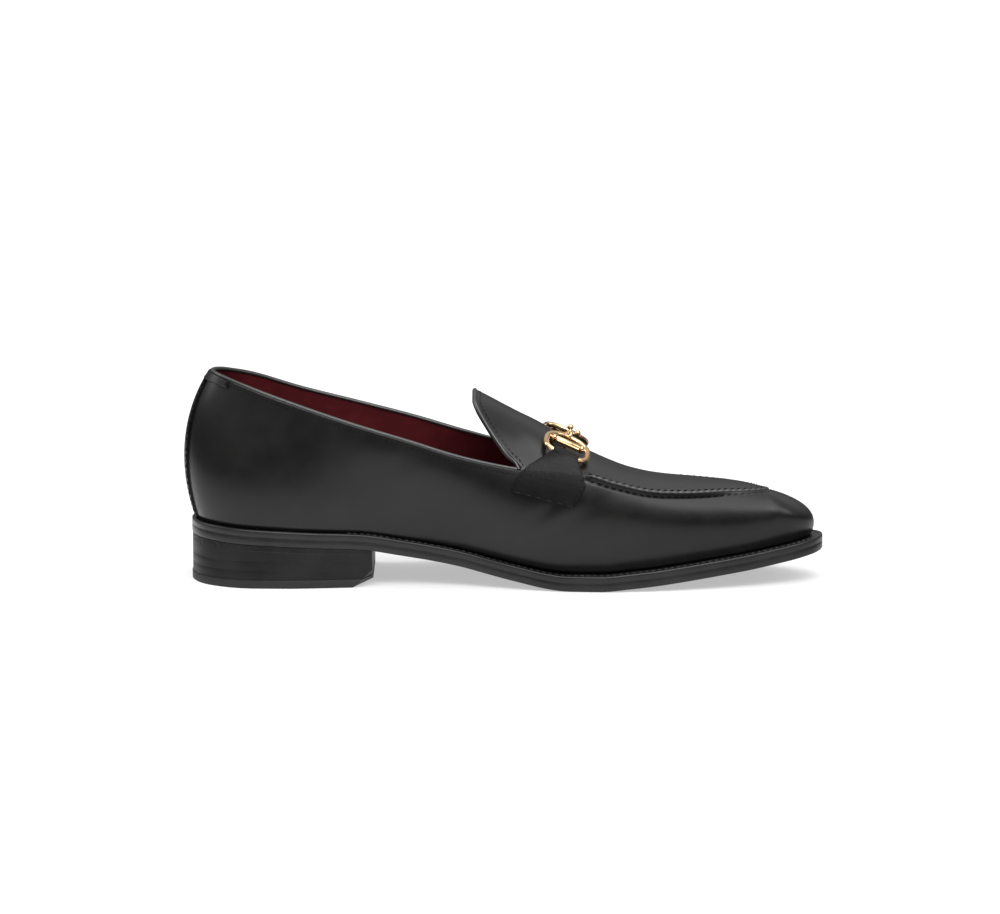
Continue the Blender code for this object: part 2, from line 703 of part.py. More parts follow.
def sweep(name, look, path, sides, ups, half_width, half_height):
    """Closed rod of oval section along a path with its own side and up directions."""
    points, faces = [], []
    facets = BINDING_FACETS
    for here, side, up in zip(path, sides, ups):
        for k in range(facets):
            turn = 2 * math.pi * (k + 0.5) / facets
            across = side * half_width * math.cos(turn)
            points.append(here + across + up * half_height * math.sin(turn))
    for row in range(len(path) - 1):
        for k in range(facets):
            a, b = row * facets + k, row * facets + (k + 1) % facets
            faces.append((a, b, b + facets, a + facets))
    faces.append(tuple(range(facets)))
    faces.append(tuple(range((len(path) - 1) * facets, len(path) * facets)))
    return place(name, points, faces, look)


def build_binding(name, points, normals, line, end):
    """Folded binding standing on a free edge of the upper."""
    path = np.array([points[k] for k in line])
    normal = np.array([normals[k] for k in line])
    rim = path - normal * WALL / 2
    rim, normal = trim_path(rim, end, normal)
    ahead, reach = frames_along(rim)
    away = np.cross(normal, ahead)
    away *= (reach / np.linalg.norm(away, axis=1))[:, None]
    centre = rim + away * (GAP + BINDING_HEIGHT / 2)
    look = ((0.012, 0.012, 0.012), 0.35)
    sweep(name, look, centre, normal, away, BINDING_WIDTH / 2, BINDING_HEIGHT / 2)


def shell(name, look, under, over):
    """Closed shell of leather between two grids of points."""
    rows, columns = np.shape(under)[:2]
    points = list(np.reshape(under, (-1, 3))) + list(np.reshape(over, (-1, 3)))
    count = rows * columns
    faces = []
    for i in range(rows - 1):
        for j in range(columns - 1):
            a = i * columns + j
            quad = (a, a + 1, a + columns + 1, a + columns)
            faces.append(quad)
            faces.append(tuple(count + k for k in reversed(quad)))
    rim = list(range(columns))
    rim += [i * columns + columns - 1 for i in range(1, rows)]
    rim += [(rows - 1) * columns + j for j in range(columns - 2, -1, -1)]
    rim += [i * columns for i in range(rows - 2, 0, -1)]
    for a, b in zip(rim, rim[1:] + rim[:1]):
        faces.append((a, b, count + b, count + a))
    return place(name, points, faces, look)


def wall_patch(name, look, width, rows, count):
    """Shell of leather on the outside of the heel, of one width, between rows of the wall."""
    wall = Wall()
    half = width / 2 / edge_knots()[2]
    columns = np.linspace(-half, half, count)
    grid = np.array([wall.points(columns, np.full(count, up)) for up in rows])
    normals = np.array([wall.normals(columns, np.full(count, min(up, 1 - SLOPE_STEP))) for up in rows])
    for level in (normals[0], normals[-1]):
        level[:, 2] = 0.0
        level /= np.linalg.norm(level, axis=1)[:, None]
    under = grid + normals * BACKSTAY_CLEARANCE
    return shell(name, look, under, under + normals * BACKSTAY_THICKNESS)


def build_backstay():
    """Strip over the back seam and the narrow band that tops it along the top line."""
    calf = ((0.010, 0.010, 0.011), 0.3)
    rows = [up for up in WALL_ROWS if up < BACKSTAY_TO] + [BACKSTAY_TO]
    wall_patch("backstay", calf, BACKSTAY_WIDTH, rows, BACKSTAY_COLUMNS)
    wall_patch("heel_band", calf, BAND_WIDTH, (BAND_FROM, (BAND_FROM + 1) / 2, 1.0), BAND_COLUMNS)


def drape(tree, along, turn, side):
    """Point and normal of the upper's outer face at a length and an angle on one side."""
    turn = math.radians(turn)
    centre = Vector((along, 0.0, GIRTH_CENTRE * top_height(SECTIONS[INNER_THROAT])))
    away = Vector((0.0, side * math.cos(turn), math.sin(turn)))
    hit, normal, _, _ = tree.ray_cast(centre + away * BALL_WIDTH, -away)
    if normal.dot(away) < 0:
        normal = -normal
    return np.array(hit), np.array(normal)


def below(tree, along, across):
    """Point of the upper's outer face straight below a place."""
    hit, _, _, _ = tree.ray_cast(Vector((along, across, 1.0)), Vector((0.0, 0.0, -1.0)))
    return np.array(hit)


def ring_frame(tree, side):
    """Centre and three directions of one side's ring: along, up the instep and outwards."""
    back = below(tree, RING_STATION - RING_REACH_ALONG, side * RING_SIDE)
    front = below(tree, RING_STATION + RING_REACH_ALONG, side * RING_SIDE)
    high = below(tree, RING_STATION, side * (RING_SIDE - RING_REACH_ACROSS))
    low = below(tree, RING_STATION, side * (RING_SIDE + RING_REACH_ACROSS))
    ahead = unit(front - back)
    climb = unit((high - low) - ahead * np.dot(high - low, ahead))
    out = unit(np.cross(ahead, climb))
    if out[2] < 0:
        out = -out
    lift = STRAP_CLEARANCE + STRAP_THICKNESS + GAP + RING_TUBE / 2 - RING_SINK
    return below(tree, RING_STATION, side * RING_SIDE) + out * lift, ahead, climb, out


def oval(centre, ahead, climb, length, width, count):
    """Points of a rounded oval in the plane of two directions."""
    result = []
    for k in range(count):
        turn = 2 * math.pi * k / count
        c, s = math.cos(turn), math.sin(turn)
        power = RING_TOP_POWER if s > 0 else RING_BAR_POWER
        reach = (abs(c) ** power + abs(s) ** power) ** (-1 / power)
        result.append(centre + ahead * c * reach * length / 2 + climb * s * reach * width / 2)
    return np.array(result)


def loop(name, look, path, radius):
    """Closed round rod along a closed path."""
    path = np.asarray(path)
    count, facets = len(path), ROD_FACETS
    ahead = np.roll(path, -1, axis=0) - np.roll(path, 1, axis=0)
    ahead /= np.linalg.norm(ahead, axis=1)[:, None]
    centre = path.mean(axis=0)
    flat = unit(np.cross(path[0] - centre, path[count // 4] - centre))
    points, faces = [], []
    for here, forward in zip(path, ahead):
        side = unit(np.cross(forward, flat))
        for k in range(facets):
            turn = 2 * math.pi * k / facets
            points.append(here + (side * math.cos(turn) + flat * math.sin(turn)) * radius)
    for row in range(count):
        for k in range(facets):
            a, b = row * facets + k, row * facets + (k + 1) % facets
            c = ((row + 1) % count) * facets
            faces.append((a, b, c + (k + 1) % facets, c + k))
    return place(name, points, faces, look)


def turned(name, look, start, end, rows, radius=1.0):
    """Closed turned piece between two points: rows of share along and of a radius."""
    facets = ROD_FACETS
    axis = unit(end - start)
    side = unit(np.cross(axis, ASIDE))
    other = np.cross(axis, side)
    points, faces = [start], []
    for row in rows:
        here = start + (end - start) * row.along
        for k in range(facets):
            turn = 2 * math.pi * k / facets
            spoke = side * math.cos(turn) + other * math.sin(turn)
            points.append(here + spoke * row.radius * radius)
    points.append(end)
    tail = 1 + (len(rows) - 1) * facets
    for k in range(facets):
        faces.append((0, 1 + k, 1 + (k + 1) % facets))
        faces.append((len(points) - 1, tail + k, tail + (k + 1) % facets))
    for row in range(len(rows) - 1):
        for k in range(facets):
            a, b = 1 + row * facets + k, 1 + row * facets + (k + 1) % facets
            faces.append((a, b, b + facets, a + facets))
    return place(name, points, faces, look)


def join(item, *others):
    """Unites other bodies with an item and removes them."""
    for number, other in enumerate(others):
        union = item.modifiers.new(f"joined_{number}", "BOOLEAN")
        union.operation = "UNION"
        union.solver = "EXACT"
        union.object = other
    bpy.context.view_layer.update()
    graph = bpy.context.evaluated_depsgraph_get()
    mesh = bpy.data.meshes.new_from_object(item.evaluated_get(graph))
    item.modifiers.clear()
    item.data = mesh
    for other in others:
        bpy.data.objects.remove(other, do_unlink=True)


def build_strap(tree, side, name):
    """Strap tab on the side of the upper, folded round the ring."""
    centre, ahead, climb, out = ring_frame(tree, side)
    bar = centre - climb * (RING_WIDTH - RING_TUBE) / 2
    under, over = [], []
    for row in STRAP:
        low_row, high_row = [], []
        for share in np.linspace(0.0, 1.0, STRAP_COLUMNS):
            along = (row.left_along + (row.right_along - row.left_along) * share) * SOLE_LENGTH
            turn = row.left_turn + (row.right_turn - row.left_turn) * share
            point, normal = drape(tree, along, turn, side)
            low_row.append(point + normal * STRAP_CLEARANCE)
            high_row.append(point + normal * (STRAP_CLEARANCE + STRAP_THICKNESS))
        under.append(np.array(low_row))
        over.append(np.array(high_row))
    inner_radius = RING_TUBE / 2 + GAP
    outer_radius = inner_radius + STRAP_THICKNESS
    spans = np.linspace(-FOLD_WIDTH / 2, FOLD_WIDTH / 2, STRAP_COLUMNS)
    for k in range(FOLD_FACETS + 1):
        turn = math.radians(FOLD_START - FOLD_TURN * k / FOLD_FACETS)
        spoke = climb * math.cos(turn) + out * math.sin(turn)
        low_row = np.array([bar + ahead * span + spoke * inner_radius for span in spans])
        high_row = np.array([bar + ahead * span + spoke * outer_radius for span in spans])
        under.append(low_row)
        over.append(high_row)
    return shell(name, ((0.012, 0.012, 0.012), 0.55), under, over)


def build_bit(tree):
    """Two rings with rollers, and the jointed mouthpiece between them."""
    gold = ((0.93, 0.70, 0.48), 0.15, 1.0)
    for side, name in ((-1, "inner"), (1, "outer")):
        centre, ahead, climb, out = ring_frame(tree, side)
        path = oval(centre, ahead, climb, RING_LENGTH - RING_TUBE, RING_WIDTH - RING_TUBE, RING_FACETS)
        ring = loop(f"ring_{name}", gold, path, RING_TUBE / 2)
        half = (RING_LENGTH - RING_TUBE) / 2
        pin = RING_TUBE * PIN_SHARE
        start = 0.5 - ROLLER_LENGTH / 4 / half
        rows = [Turning(PIN_START, pin), Turning(start + BEAD_ROWS[0].along - PIN_START, pin)]
        rows += [Turning(start + row.along, row.radius * BEAD_DIAMETER / 2) for row in BEAD_ROWS]
        rows.append(Turning(start + PIN_START / 2, ROLLER_DIAMETER / 2))
        rows += [Turning(1 - row.along, row.radius) for row in reversed(rows)]
        rod = turned("roller_" + name, gold, centre - ahead * half, centre + ahead * half, rows)
        join(ring, rod)
    middle = below(tree, RING_STATION + LINK_AHEAD, 0.0) + np.array([0.0, 0.0, LINK_RISE])
    for side, name in ((-1, "inner"), (1, "outer")):
        build_link(tree, side, name, middle, gold)


def build_link(tree, side, name, middle, look):
    """Half of the mouthpiece: an eye on the ring, a tapered arm and an eye at the middle."""
    centre, ahead, climb, out = ring_frame(tree, side)
    bar = centre + climb * (RING_WIDTH - RING_TUBE) / 2
    wire = LINK_WIRE / 2
    small = RING_TUBE / 2 + GAP * 2 + wire
    across = np.array([0.0, float(side), 0.0])
    upright = np.array([0.0, 0.0, 1.0])
    forward = np.array([1.0, 0.0, 0.0])
    eye_at = middle + across * EYE_OFFSET
    plane = upright if side < 0 else forward
    ring_eye = loop("link_" + name, look, circle(bar + out * GAP, climb, out, small), wire)
    mid_eye = loop("eye", look, circle(eye_at, across, plane, EYE_RADIUS), wire)
    begin = bar + unit(eye_at - bar) * small
    arm = turned("arm", look, begin, eye_at + across * EYE_RADIUS, ARM, ARM_DIAMETER / 2)
    knob_at = eye_at + plane * (EYE_RADIUS + KNOB_DIAMETER * KNOB_SINK)
    half = plane * KNOB_DIAMETER / 2
    knob = turned("knob", look, knob_at - half, knob_at + half, KNOB, KNOB_DIAMETER / 2)
    join(ring_eye, mid_eye, arm, knob)


def circle(centre, one, two, radius):
    """Points of a circle in the plane of two directions."""
    turns = [2 * math.pi * k / EYE_FACETS for k in range(EYE_FACETS)]
    return [centre + (one * math.cos(turn) + two * math.sin(turn)) * radius for turn in turns]


remove_objects()
build_sole()
surface = build_upper()
build_backstay()
build_strap(surface, -1, "strap_inner")
build_strap(surface, 1, "strap_outer")
build_bit(surface)
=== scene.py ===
"""Dressed scene of a bit loafer for the left foot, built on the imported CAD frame.

Metres, +Z up, toe towards +X, the inner side of the foot towards -Y.
The origin is the middle of the heel's resting face, on the floor.
Lengths along the shoe are measured from the back of the sole, and moved to the
frame's origin when a piece is made.
"""
import json
import logging
import math
from collections.abc import Callable, Sequence
from dataclasses import dataclass, field
from enum import Enum

import bpy
import numpy as np
from mathutils import Euler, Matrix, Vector
from mathutils.bvhtree import BVHTree

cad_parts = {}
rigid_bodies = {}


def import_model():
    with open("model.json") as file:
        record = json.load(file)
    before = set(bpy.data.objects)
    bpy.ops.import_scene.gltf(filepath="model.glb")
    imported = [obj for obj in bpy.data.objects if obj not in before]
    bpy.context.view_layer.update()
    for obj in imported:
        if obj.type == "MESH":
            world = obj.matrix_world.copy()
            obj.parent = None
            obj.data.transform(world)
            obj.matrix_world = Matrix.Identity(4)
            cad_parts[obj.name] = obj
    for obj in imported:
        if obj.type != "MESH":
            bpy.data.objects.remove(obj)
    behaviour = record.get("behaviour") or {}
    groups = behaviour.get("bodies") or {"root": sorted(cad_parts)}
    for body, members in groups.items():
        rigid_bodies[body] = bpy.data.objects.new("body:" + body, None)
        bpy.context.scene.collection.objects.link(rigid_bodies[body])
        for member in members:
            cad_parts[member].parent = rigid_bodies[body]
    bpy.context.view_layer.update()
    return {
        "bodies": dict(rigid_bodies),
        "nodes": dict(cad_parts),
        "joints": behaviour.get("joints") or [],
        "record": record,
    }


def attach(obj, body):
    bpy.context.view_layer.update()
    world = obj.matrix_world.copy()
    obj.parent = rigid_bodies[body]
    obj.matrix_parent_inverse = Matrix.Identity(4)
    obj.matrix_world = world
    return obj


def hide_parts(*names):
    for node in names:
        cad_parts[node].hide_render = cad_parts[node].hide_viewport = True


LOG = logging.getLogger("loafer")
WHITE = (1.0, 1.0, 1.0, 1.0)
DOWN = Vector((0.0, 0.0, -1.0))
Array = np.ndarray
Faces = list[tuple[int, ...]]
Frame = tuple[Array, Array, Array, Array]
Socket = bpy.types.NodeSocket


class Slot(Enum):
    """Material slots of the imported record."""

    CALF = "calf"
    STRAP = "strap"
    LINING = "lining"
    EDGE = "edge"
    HEEL = "heel"
    TOP_PIECE = "top_piece"
    GOLD = "gold"


class Side(Enum):
    """Sides of the foot, with the sign of their Y."""

    INNER = -1
    OUTER = 1


@dataclass(frozen=True)
class Last:
    """Driving sizes of the shoe, in metres."""

    sole_length: float = 0.305
    ball_width: float = 0.1045
    heel_length: float = 0.088
    heel_height: float = 0.0226
    toe_spring: float = 0.0144
    collar_height: float = 0.1035
    instep_height: float = 0.080
    outsole: float = 0.0043
    welt: float = 0.0030
    gap: float = 0.0003
    wall: float = 0.0018
    welt_joint: float = 0.074
    foot_inset: float = 0.0064


LAST = Last()

# Sole edge from above: shares of the sole's length and of the ball width
SOLE_EDGE = (
    (0.000, 0.000), (0.018, -0.172), (0.066, -0.282), (0.148, -0.312), (0.246, -0.288),
    (0.344, -0.255), (0.426, -0.270), (0.508, -0.332), (0.590, -0.385), (0.656, -0.400),
    (0.738, -0.382), (0.836, -0.328), (0.918, -0.255), (0.965, -0.190), (0.990, -0.115),
    (1.000, -0.035), (0.995, 0.050), (0.975, 0.135), (0.935, 0.235), (0.885, 0.335),
    (0.820, 0.445), (0.721, 0.548), (0.639, 0.582), (0.557, 0.548), (0.459, 0.458),
    (0.361, 0.373), (0.262, 0.344), (0.148, 0.325), (0.066, 0.290), (0.018, 0.177),
)

# Underside of the outsole: shares of the sole's length and of the heel height or toe spring
SHANK_LINE = (
    (0.000, 1.000), (0.100, 0.925), (0.200, 0.850), (0.285, 0.775), (0.330, 0.665),
    (0.377, 0.560), (0.426, 0.435), (0.472, 0.290), (0.520, 0.150), (0.560, 0.045),
    (0.590, 0.000), (0.620, 0.000),
)
SPRING_LINE = (
    (0.620, 0.000), (0.650, 0.000), (0.688, 0.075), (0.735, 0.175), (0.780, 0.300),
    (0.830, 0.445), (0.875, 0.575), (0.925, 0.745), (0.970, 0.900), (1.000, 1.000),
)

# Where the upper's foot stands inside the sole edge: shares of the length and widest inset
INSETS = (
    (0.00, 0.34), (0.25, 0.34), (0.36, 0.47), (0.50, 0.70), (0.62, 0.97), (0.85, 1.00),
    (1.00, 0.875),
)

# Wall: place on the edge, side, top along, across and height, swell low and high, facets
SECTIONS = (
    (0.000, -1, 0.031, 0.000, 0.974, 0.118, 0.190, 3),
    (0.045, -1, 0.052, -0.130, 0.960, 0.115, 0.145, 2),
    (0.120, -1, 0.100, -0.230, 0.917, 0.100, 0.085, 2),
    (0.200, -1, 0.172, -0.275, 0.845, 0.085, 0.060, 2),
    (0.285, -1, 0.255, -0.306, 0.766, 0.100, 0.050, 2),
    (0.365, -1, 0.345, -0.328, 0.689, 0.160, 0.060, 2),
    (0.445, -1, 0.428, -0.340, 0.616, 0.190, 0.080, 2),
    (0.520, -1, 0.521, -0.340, 0.560, 0.190, 0.110, 4),
    (0.605, -1, 0.612, -0.364, 0.549, 0.170, 0.150, 3),
    (0.675, -1, 0.670, -0.352, 0.497, 0.150, 0.190, 3),
    (0.740, -1, 0.725, -0.325, 0.456, 0.150, 0.250, 3),
    (0.805, -1, 0.790, -0.270, 0.441, 0.150, 0.330, 3),
    (0.865, -1, 0.850, -0.208, 0.441, 0.150, 0.400, 3),
    (0.925, -1, 0.897, -0.142, 0.438, 0.150, 0.640, 1),
    (0.945, -1, 0.906, -0.120, 0.436, 0.150, 0.800, 5),
    (1.000, 1, 0.903, 0.000, 0.424, 0.155, 1.150, 5),
    (0.940, 1, 0.883, 0.140, 0.409, 0.150, 0.700, 1),
    (0.920, 1, 0.874, 0.162, 0.410, 0.150, 0.560, 3),
    (0.855, 1, 0.835, 0.235, 0.412, 0.150, 0.400, 3),
    (0.795, 1, 0.785, 0.305, 0.413, 0.150, 0.330, 3),
    (0.730, 1, 0.725, 0.362, 0.417, 0.150, 0.250, 3),
    (0.665, 1, 0.670, 0.392, 0.452, 0.160, 0.190, 3),
    (0.600, 1, 0.612, 0.392, 0.515, 0.170, 0.150, 4),
    (0.515, 1, 0.521, 0.352, 0.560, 0.150, 0.110, 2),
    (0.435, 1, 0.428, 0.345, 0.632, 0.130, 0.080, 2),
    (0.355, 1, 0.345, 0.332, 0.706, 0.105, 0.060, 2),
    (0.280, 1, 0.255, 0.310, 0.778, 0.090, 0.050, 2),
    (0.200, 1, 0.172, 0.280, 0.845, 0.090, 0.060, 2),
    (0.120, 1, 0.100, 0.232, 0.917, 0.105, 0.085, 2),
    (0.045, 1, 0.052, 0.132, 0.960, 0.115, 0.145, 3),
)
INNER_THROAT, INNER_CORNER, OUTER_CORNER, OUTER_THROAT = 7, 14, 16, 23
APRON_COLUMNS = (0.0, 0.035, 0.125, 0.25, 0.375, 0.5, 0.625, 0.75, 0.875, 0.965, 1.0)

# Tongue: shares of the sole's length and of the ball width
TONGUE = (
    (0.451, 0.135), (0.4555, 0.175), (0.462, 0.207), (0.477, 0.254), (0.499, 0.302),
    (0.513, 0.316),
)

# Crest of tongue and apron: shares of the sole's length and of the instep height
CREST = (
    (0.440, 1.160), (0.492, 1.056), (0.521, 0.995), (0.544, 0.957), (0.567, 0.902),
    (0.600, 0.816), (0.639, 0.740), (0.662, 0.701), (0.685, 0.666), (0.712, 0.637),
    (0.750, 0.612), (0.806, 0.594), (0.853, 0.585), (0.885, 0.568), (0.903, 0.550),
)

# Strap tab: shares of the length and degrees round the foot, at its left and right edge
STRAP_ROWS = (
    (0.507, 19.3, 0.604, 8.6), (0.511, 24.0, 0.610, 13.0), (0.516, 28.8, 0.616, 17.4),
    (0.5225, 31.8, 0.621, 21.9), (0.536, 35.7, 0.617, 27.5), (0.557, 40.6, 0.613, 33.8),
    (0.568, 45.2, 0.609, 39.5),
)

# One end of the roller bar: kind of radius, share of the bar's length, share of the radius
ROLLER_ROWS = (
    ("pin", 0.41, 1.0), ("bead", 0.43, 0.8), ("bead", 0.447, 0.96), ("bead", 0.465, 1.0),
    ("bead", 0.483, 0.96), ("bead", 0.5, 0.8), ("roller", 0.51, 0.9), ("roller", 0.52, 1.0),
)

# Half of a mouthpiece's arm: shares of its length, of the wire's and of the arm's radius
ARM_ROWS = (
    (0.0, 1.0, 0.0), (0.12, 1.0, 0.0), (0.16, 0.0, 0.95), (0.2, 1.0, 0.0), (0.35, 0.0, 1.0),
    (0.5, 0.0, 1.25),
)

# Corner of the sole's edge: share of the rounding inwards, and of the thickness from its face
CORNER_ROWS = ((1.6, 0.0), (0.5, 0.02), (0.12, 0.07), (0.0, 0.14))

# Sock's rim: height over the wall's foot and distance inwards, in metres
SOCK_ROWS = ((0.0042, 0.0), (0.0034, 0.0006), (0.0030, 0.0016), (0.0029, 0.0040))

# Side of a heel piece: shares of its height and of its rounding, and insets in metres
LIFT_ROWS = (
    (0.0, 1.0, 0.0), (0.03, 0.3, 0.0), (0.08, 0.0, 0.0), (0.5, 0.0, 0.0), (0.97, 0.0, 0.0),
    (1.0, 0.0, 0.00006),
)

# Soft creases: side, share of the length, share of the wall's height, length, width, depth
CREASES = (
    (-1, 0.560, 0.60, 0.030, 0.0050, 0.00035),
    (-1, 0.600, 0.50, 0.034, 0.0060, 0.00040),
    (-1, 0.330, 0.72, 0.040, 0.0080, 0.00030),
    (1, 0.570, 0.60, 0.030, 0.0050, 0.00035),
    (1, 0.610, 0.50, 0.034, 0.0060, 0.00040),
)


def unit(vector: Array) -> Array:
    """Gives a vector, or rows of them, at length one."""
    vector = np.asarray(vector, float)
    return vector / np.linalg.norm(vector, axis=-1, keepdims=True)


def spline(knots: Array, values: Array, at: Array, period: float | None = None) -> Array:
    """Smooth curve through rows of values at rising knots.

    Args:
        knots: Rising places of the rows.
        values: Rows of values.
        at: Places to read.
        period: Length of the round if the curve is closed.

    Returns:
        Rows of values at the places.
    """
    knots = np.asarray(knots, float)
    values = np.asarray(values, float).reshape(len(knots), -1)
    at = np.asarray(at, float)
    if period is None:
        keys = np.r_[2 * knots[0] - knots[1], knots, 2 * knots[-1] - knots[-2]]
        rows = np.vstack([2 * values[0] - values[1], values, 2 * values[-1] - values[-2]])
        at = np.clip(at, knots[0], knots[-1])
    else:
        keys = np.r_[knots[-1] - period, knots, knots[0] + period, knots[1] + period]
        rows = np.vstack([values[-1], values, values[0], values[1]])
        at = (at - knots[0]) % period + knots[0]
    step = np.diff(keys)[:, None]
    slope = np.diff(rows, axis=0) / step
    tangent = (slope[:-1] * step[1:] + slope[1:] * step[:-1]) / (step[:-1] + step[1:])
    cell = np.clip(np.searchsorted(keys[1:-1], at, side="right") - 1, 0, len(tangent) - 2)
    width = step[cell + 1]
    t = (at - keys[cell + 1])[:, None] / width
    start, end = rows[cell + 1], rows[cell + 2]
    bend = (t ** 3 - 2 * t ** 2 + t) * tangent[cell] + (t ** 3 - t ** 2) * tangent[cell + 1]
    return start + (3 * t ** 2 - 2 * t ** 3) * (end - start) + bend * width


def profile(rows: Sequence[tuple[float, ...]], scale: float, at: Array) -> Array:
    """Reads a table of places and values, shares of the sole's length and of a size, at lengths."""
    table = np.array(rows)
    return spline(table[:, 0] * LAST.sole_length, table[:, 1] * scale, at)[:, 0]


def running_length(path: Array) -> Array:
    """Gives the distance run along a path at each of its points."""
    return np.r_[0.0, np.cumsum(np.linalg.norm(np.diff(path, axis=0), axis=1))]


def read_rows(rows: Array, knots: Array, at: Array) -> Array:
    """Reads rows of values, each column by straight lines between its knots."""
    return np.column_stack([np.interp(at, knots, column) for column in rows.T])


def smooth_step(value: Array) -> Array:
    """Gives a soft ramp from 0 to 1."""
    share = np.clip(value, 0.0, 1.0)
    return share * share * (3 - 2 * share)


class SoleEdge:
    """The sole's edge seen from above, and the heights of the sole along it."""

    PROBES = 7200
    SAMPLES = 720

    def __init__(self) -> None:
        """Works out the running lengths at the table's points."""
        points = np.array(SOLE_EDGE) * (LAST.sole_length, LAST.ball_width)
        steps = np.linalg.norm(np.diff(np.vstack([points, points[:1]]), axis=0), axis=1)
        self.table = points
        self.knots = np.r_[0.0, np.cumsum(steps)[:-1]]
        self.period = float(steps.sum())

    def points(self, shares: Array, inset: Array | float = 0.0) -> tuple[Array, Array]:
        """Points at shares of the way round.

        Args:
            shares: Shares of the way round from the back of the heel.
            inset: How far inside the edge.

        Returns:
            Points and outward directions, in plan.
        """
        at = np.asarray(shares, float) * self.period
        here = spline(self.knots, self.table, at, self.period)
        step = self.period / self.PROBES
        ahead = unit(spline(self.knots, self.table, at + step, self.period)
                     - spline(self.knots, self.table, at - step, self.period))
        outward = np.column_stack([ahead[:, 1], -ahead[:, 0]])
        return here - outward * np.asarray(inset).reshape(-1, 1), outward

    def way_round(self, along: float, side: int) -> float:
        """Share of the way round at a length on one side.

        Args:
            along: Length from the back of the sole.
            side: -1 for the inner side, 1 for the outer one.

        Returns:
            The share of the way round.
        """
        shares = np.linspace(0.0, 1.0, self.SAMPLES, endpoint=False)
        points, _ = self.points(shares)
        tip = int(np.argmax(points[:, 0]))
        if side < 0:
            return float(np.interp(along, points[:tip + 1, 0], shares[:tip + 1]))
        return float(np.interp(-along, -points[tip:, 0], shares[tip:]))

    def welt_top(self, along: Array) -> Array:
        """Height of the welt's upper face.

        Args:
            along: Lengths from the back of the sole.

        Returns:
            Heights above the floor.
        """
        along = np.atleast_1d(along)
        behind = profile(SHANK_LINE, LAST.heel_height, along)
        before = profile(SPRING_LINE, LAST.toe_spring, along)
        middle = SHANK_LINE[-1][0] * LAST.sole_length
        tread = np.maximum(np.where(along < middle, behind, before), 0.0)
        return tread + LAST.outsole + LAST.gap + LAST.welt


class Wall:
    """The upper's outer face from the sole up to the top line and the apron seam."""

    LOW_HANDLE = 0.35
    HIGH_HANDLE = 0.30
    PROBE = 1e-3
    BELOW_TOP = 0.999

    def __init__(self, edge: SoleEdge) -> None:
        """Places the sections on the sole's edge.

        Args:
            edge: The sole's edge.
        """
        self.edge = edge
        self.knots = np.array([edge.way_round(place * LAST.sole_length, side)
                               for place, side, *_ in SECTIONS])
        self.knots[0] = 0.0
        sizes = (LAST.sole_length, LAST.ball_width, LAST.collar_height, 1.0, 1.0)
        self.table = np.array([row[2:7] for row in SECTIONS]) * sizes

    def stations(self, finer: int) -> tuple[Array, list[int]]:
        """Shares of the way round for each facet.

        Args:
            finer: Facets for each facet of the CAD solid.

        Returns:
            The shares, and the station number of each section.
        """
        result: list[float] = []
        numbers: list[int] = []
        ends = np.r_[self.knots[1:], self.knots[0] + 1.0]
        for row, start, end in zip(SECTIONS, self.knots, ends):
            numbers.append(len(result))
            result += list(np.linspace(start, end, row[7] * finer, endpoint=False))
        return np.array(result), numbers

    def points(self, around: Array, up: Array) -> Array:
        """Outer points at shares of the way round and of the way up.

        Args:
            around: Shares of the way round.
            up: Shares of the way up, one for each.

        Returns:
            Rows of points.
        """
        around = np.asarray(around, float)
        up = np.asarray(up, float)[:, None]
        plain, _ = self.edge.points(around)
        inset = profile(INSETS, LAST.foot_inset, plain[:, 0])
        edge, outward = self.edge.points(around, inset)
        foot = np.column_stack([edge, self.edge.welt_top(edge[:, 0]) + LAST.gap])
        values = spline(self.knots, self.table, around, 1.0)
        top = values[:, :3]
        height = (top[:, 2] - foot[:, 2])[:, None]
        out = np.column_stack([outward, np.zeros(len(around))])
        lift = np.array([0.0, 0.0, 1.0])
        low = foot + out * values[:, 3:4] * height + lift * height * self.LOW_HANDLE
        high = top + out * values[:, 4:5] * height - lift * height * self.HIGH_HANDLE
        return ((1 - up) ** 3 * foot + 3 * (1 - up) ** 2 * up * low
                + 3 * (1 - up) * up ** 2 * high + up ** 3 * top)

    def normals(self, around: Array, up: Array) -> Array:
        """Outward normals at the same pairs.

        Args:
            around: Shares of the way round.
            up: Shares of the way up.

        Returns:
            Rows of unit vectors.
        """
        around = np.asarray(around, float)
        up = np.asarray(up, float)
        rise = (self.points(around, np.minimum(up + self.PROBE, 1.0))
                - self.points(around, np.maximum(up - self.PROBE, 0.0)))
        ahead = self.points(around + self.PROBE, up) - self.points(around - self.PROBE, up)
        return unit(np.cross(ahead, rise))


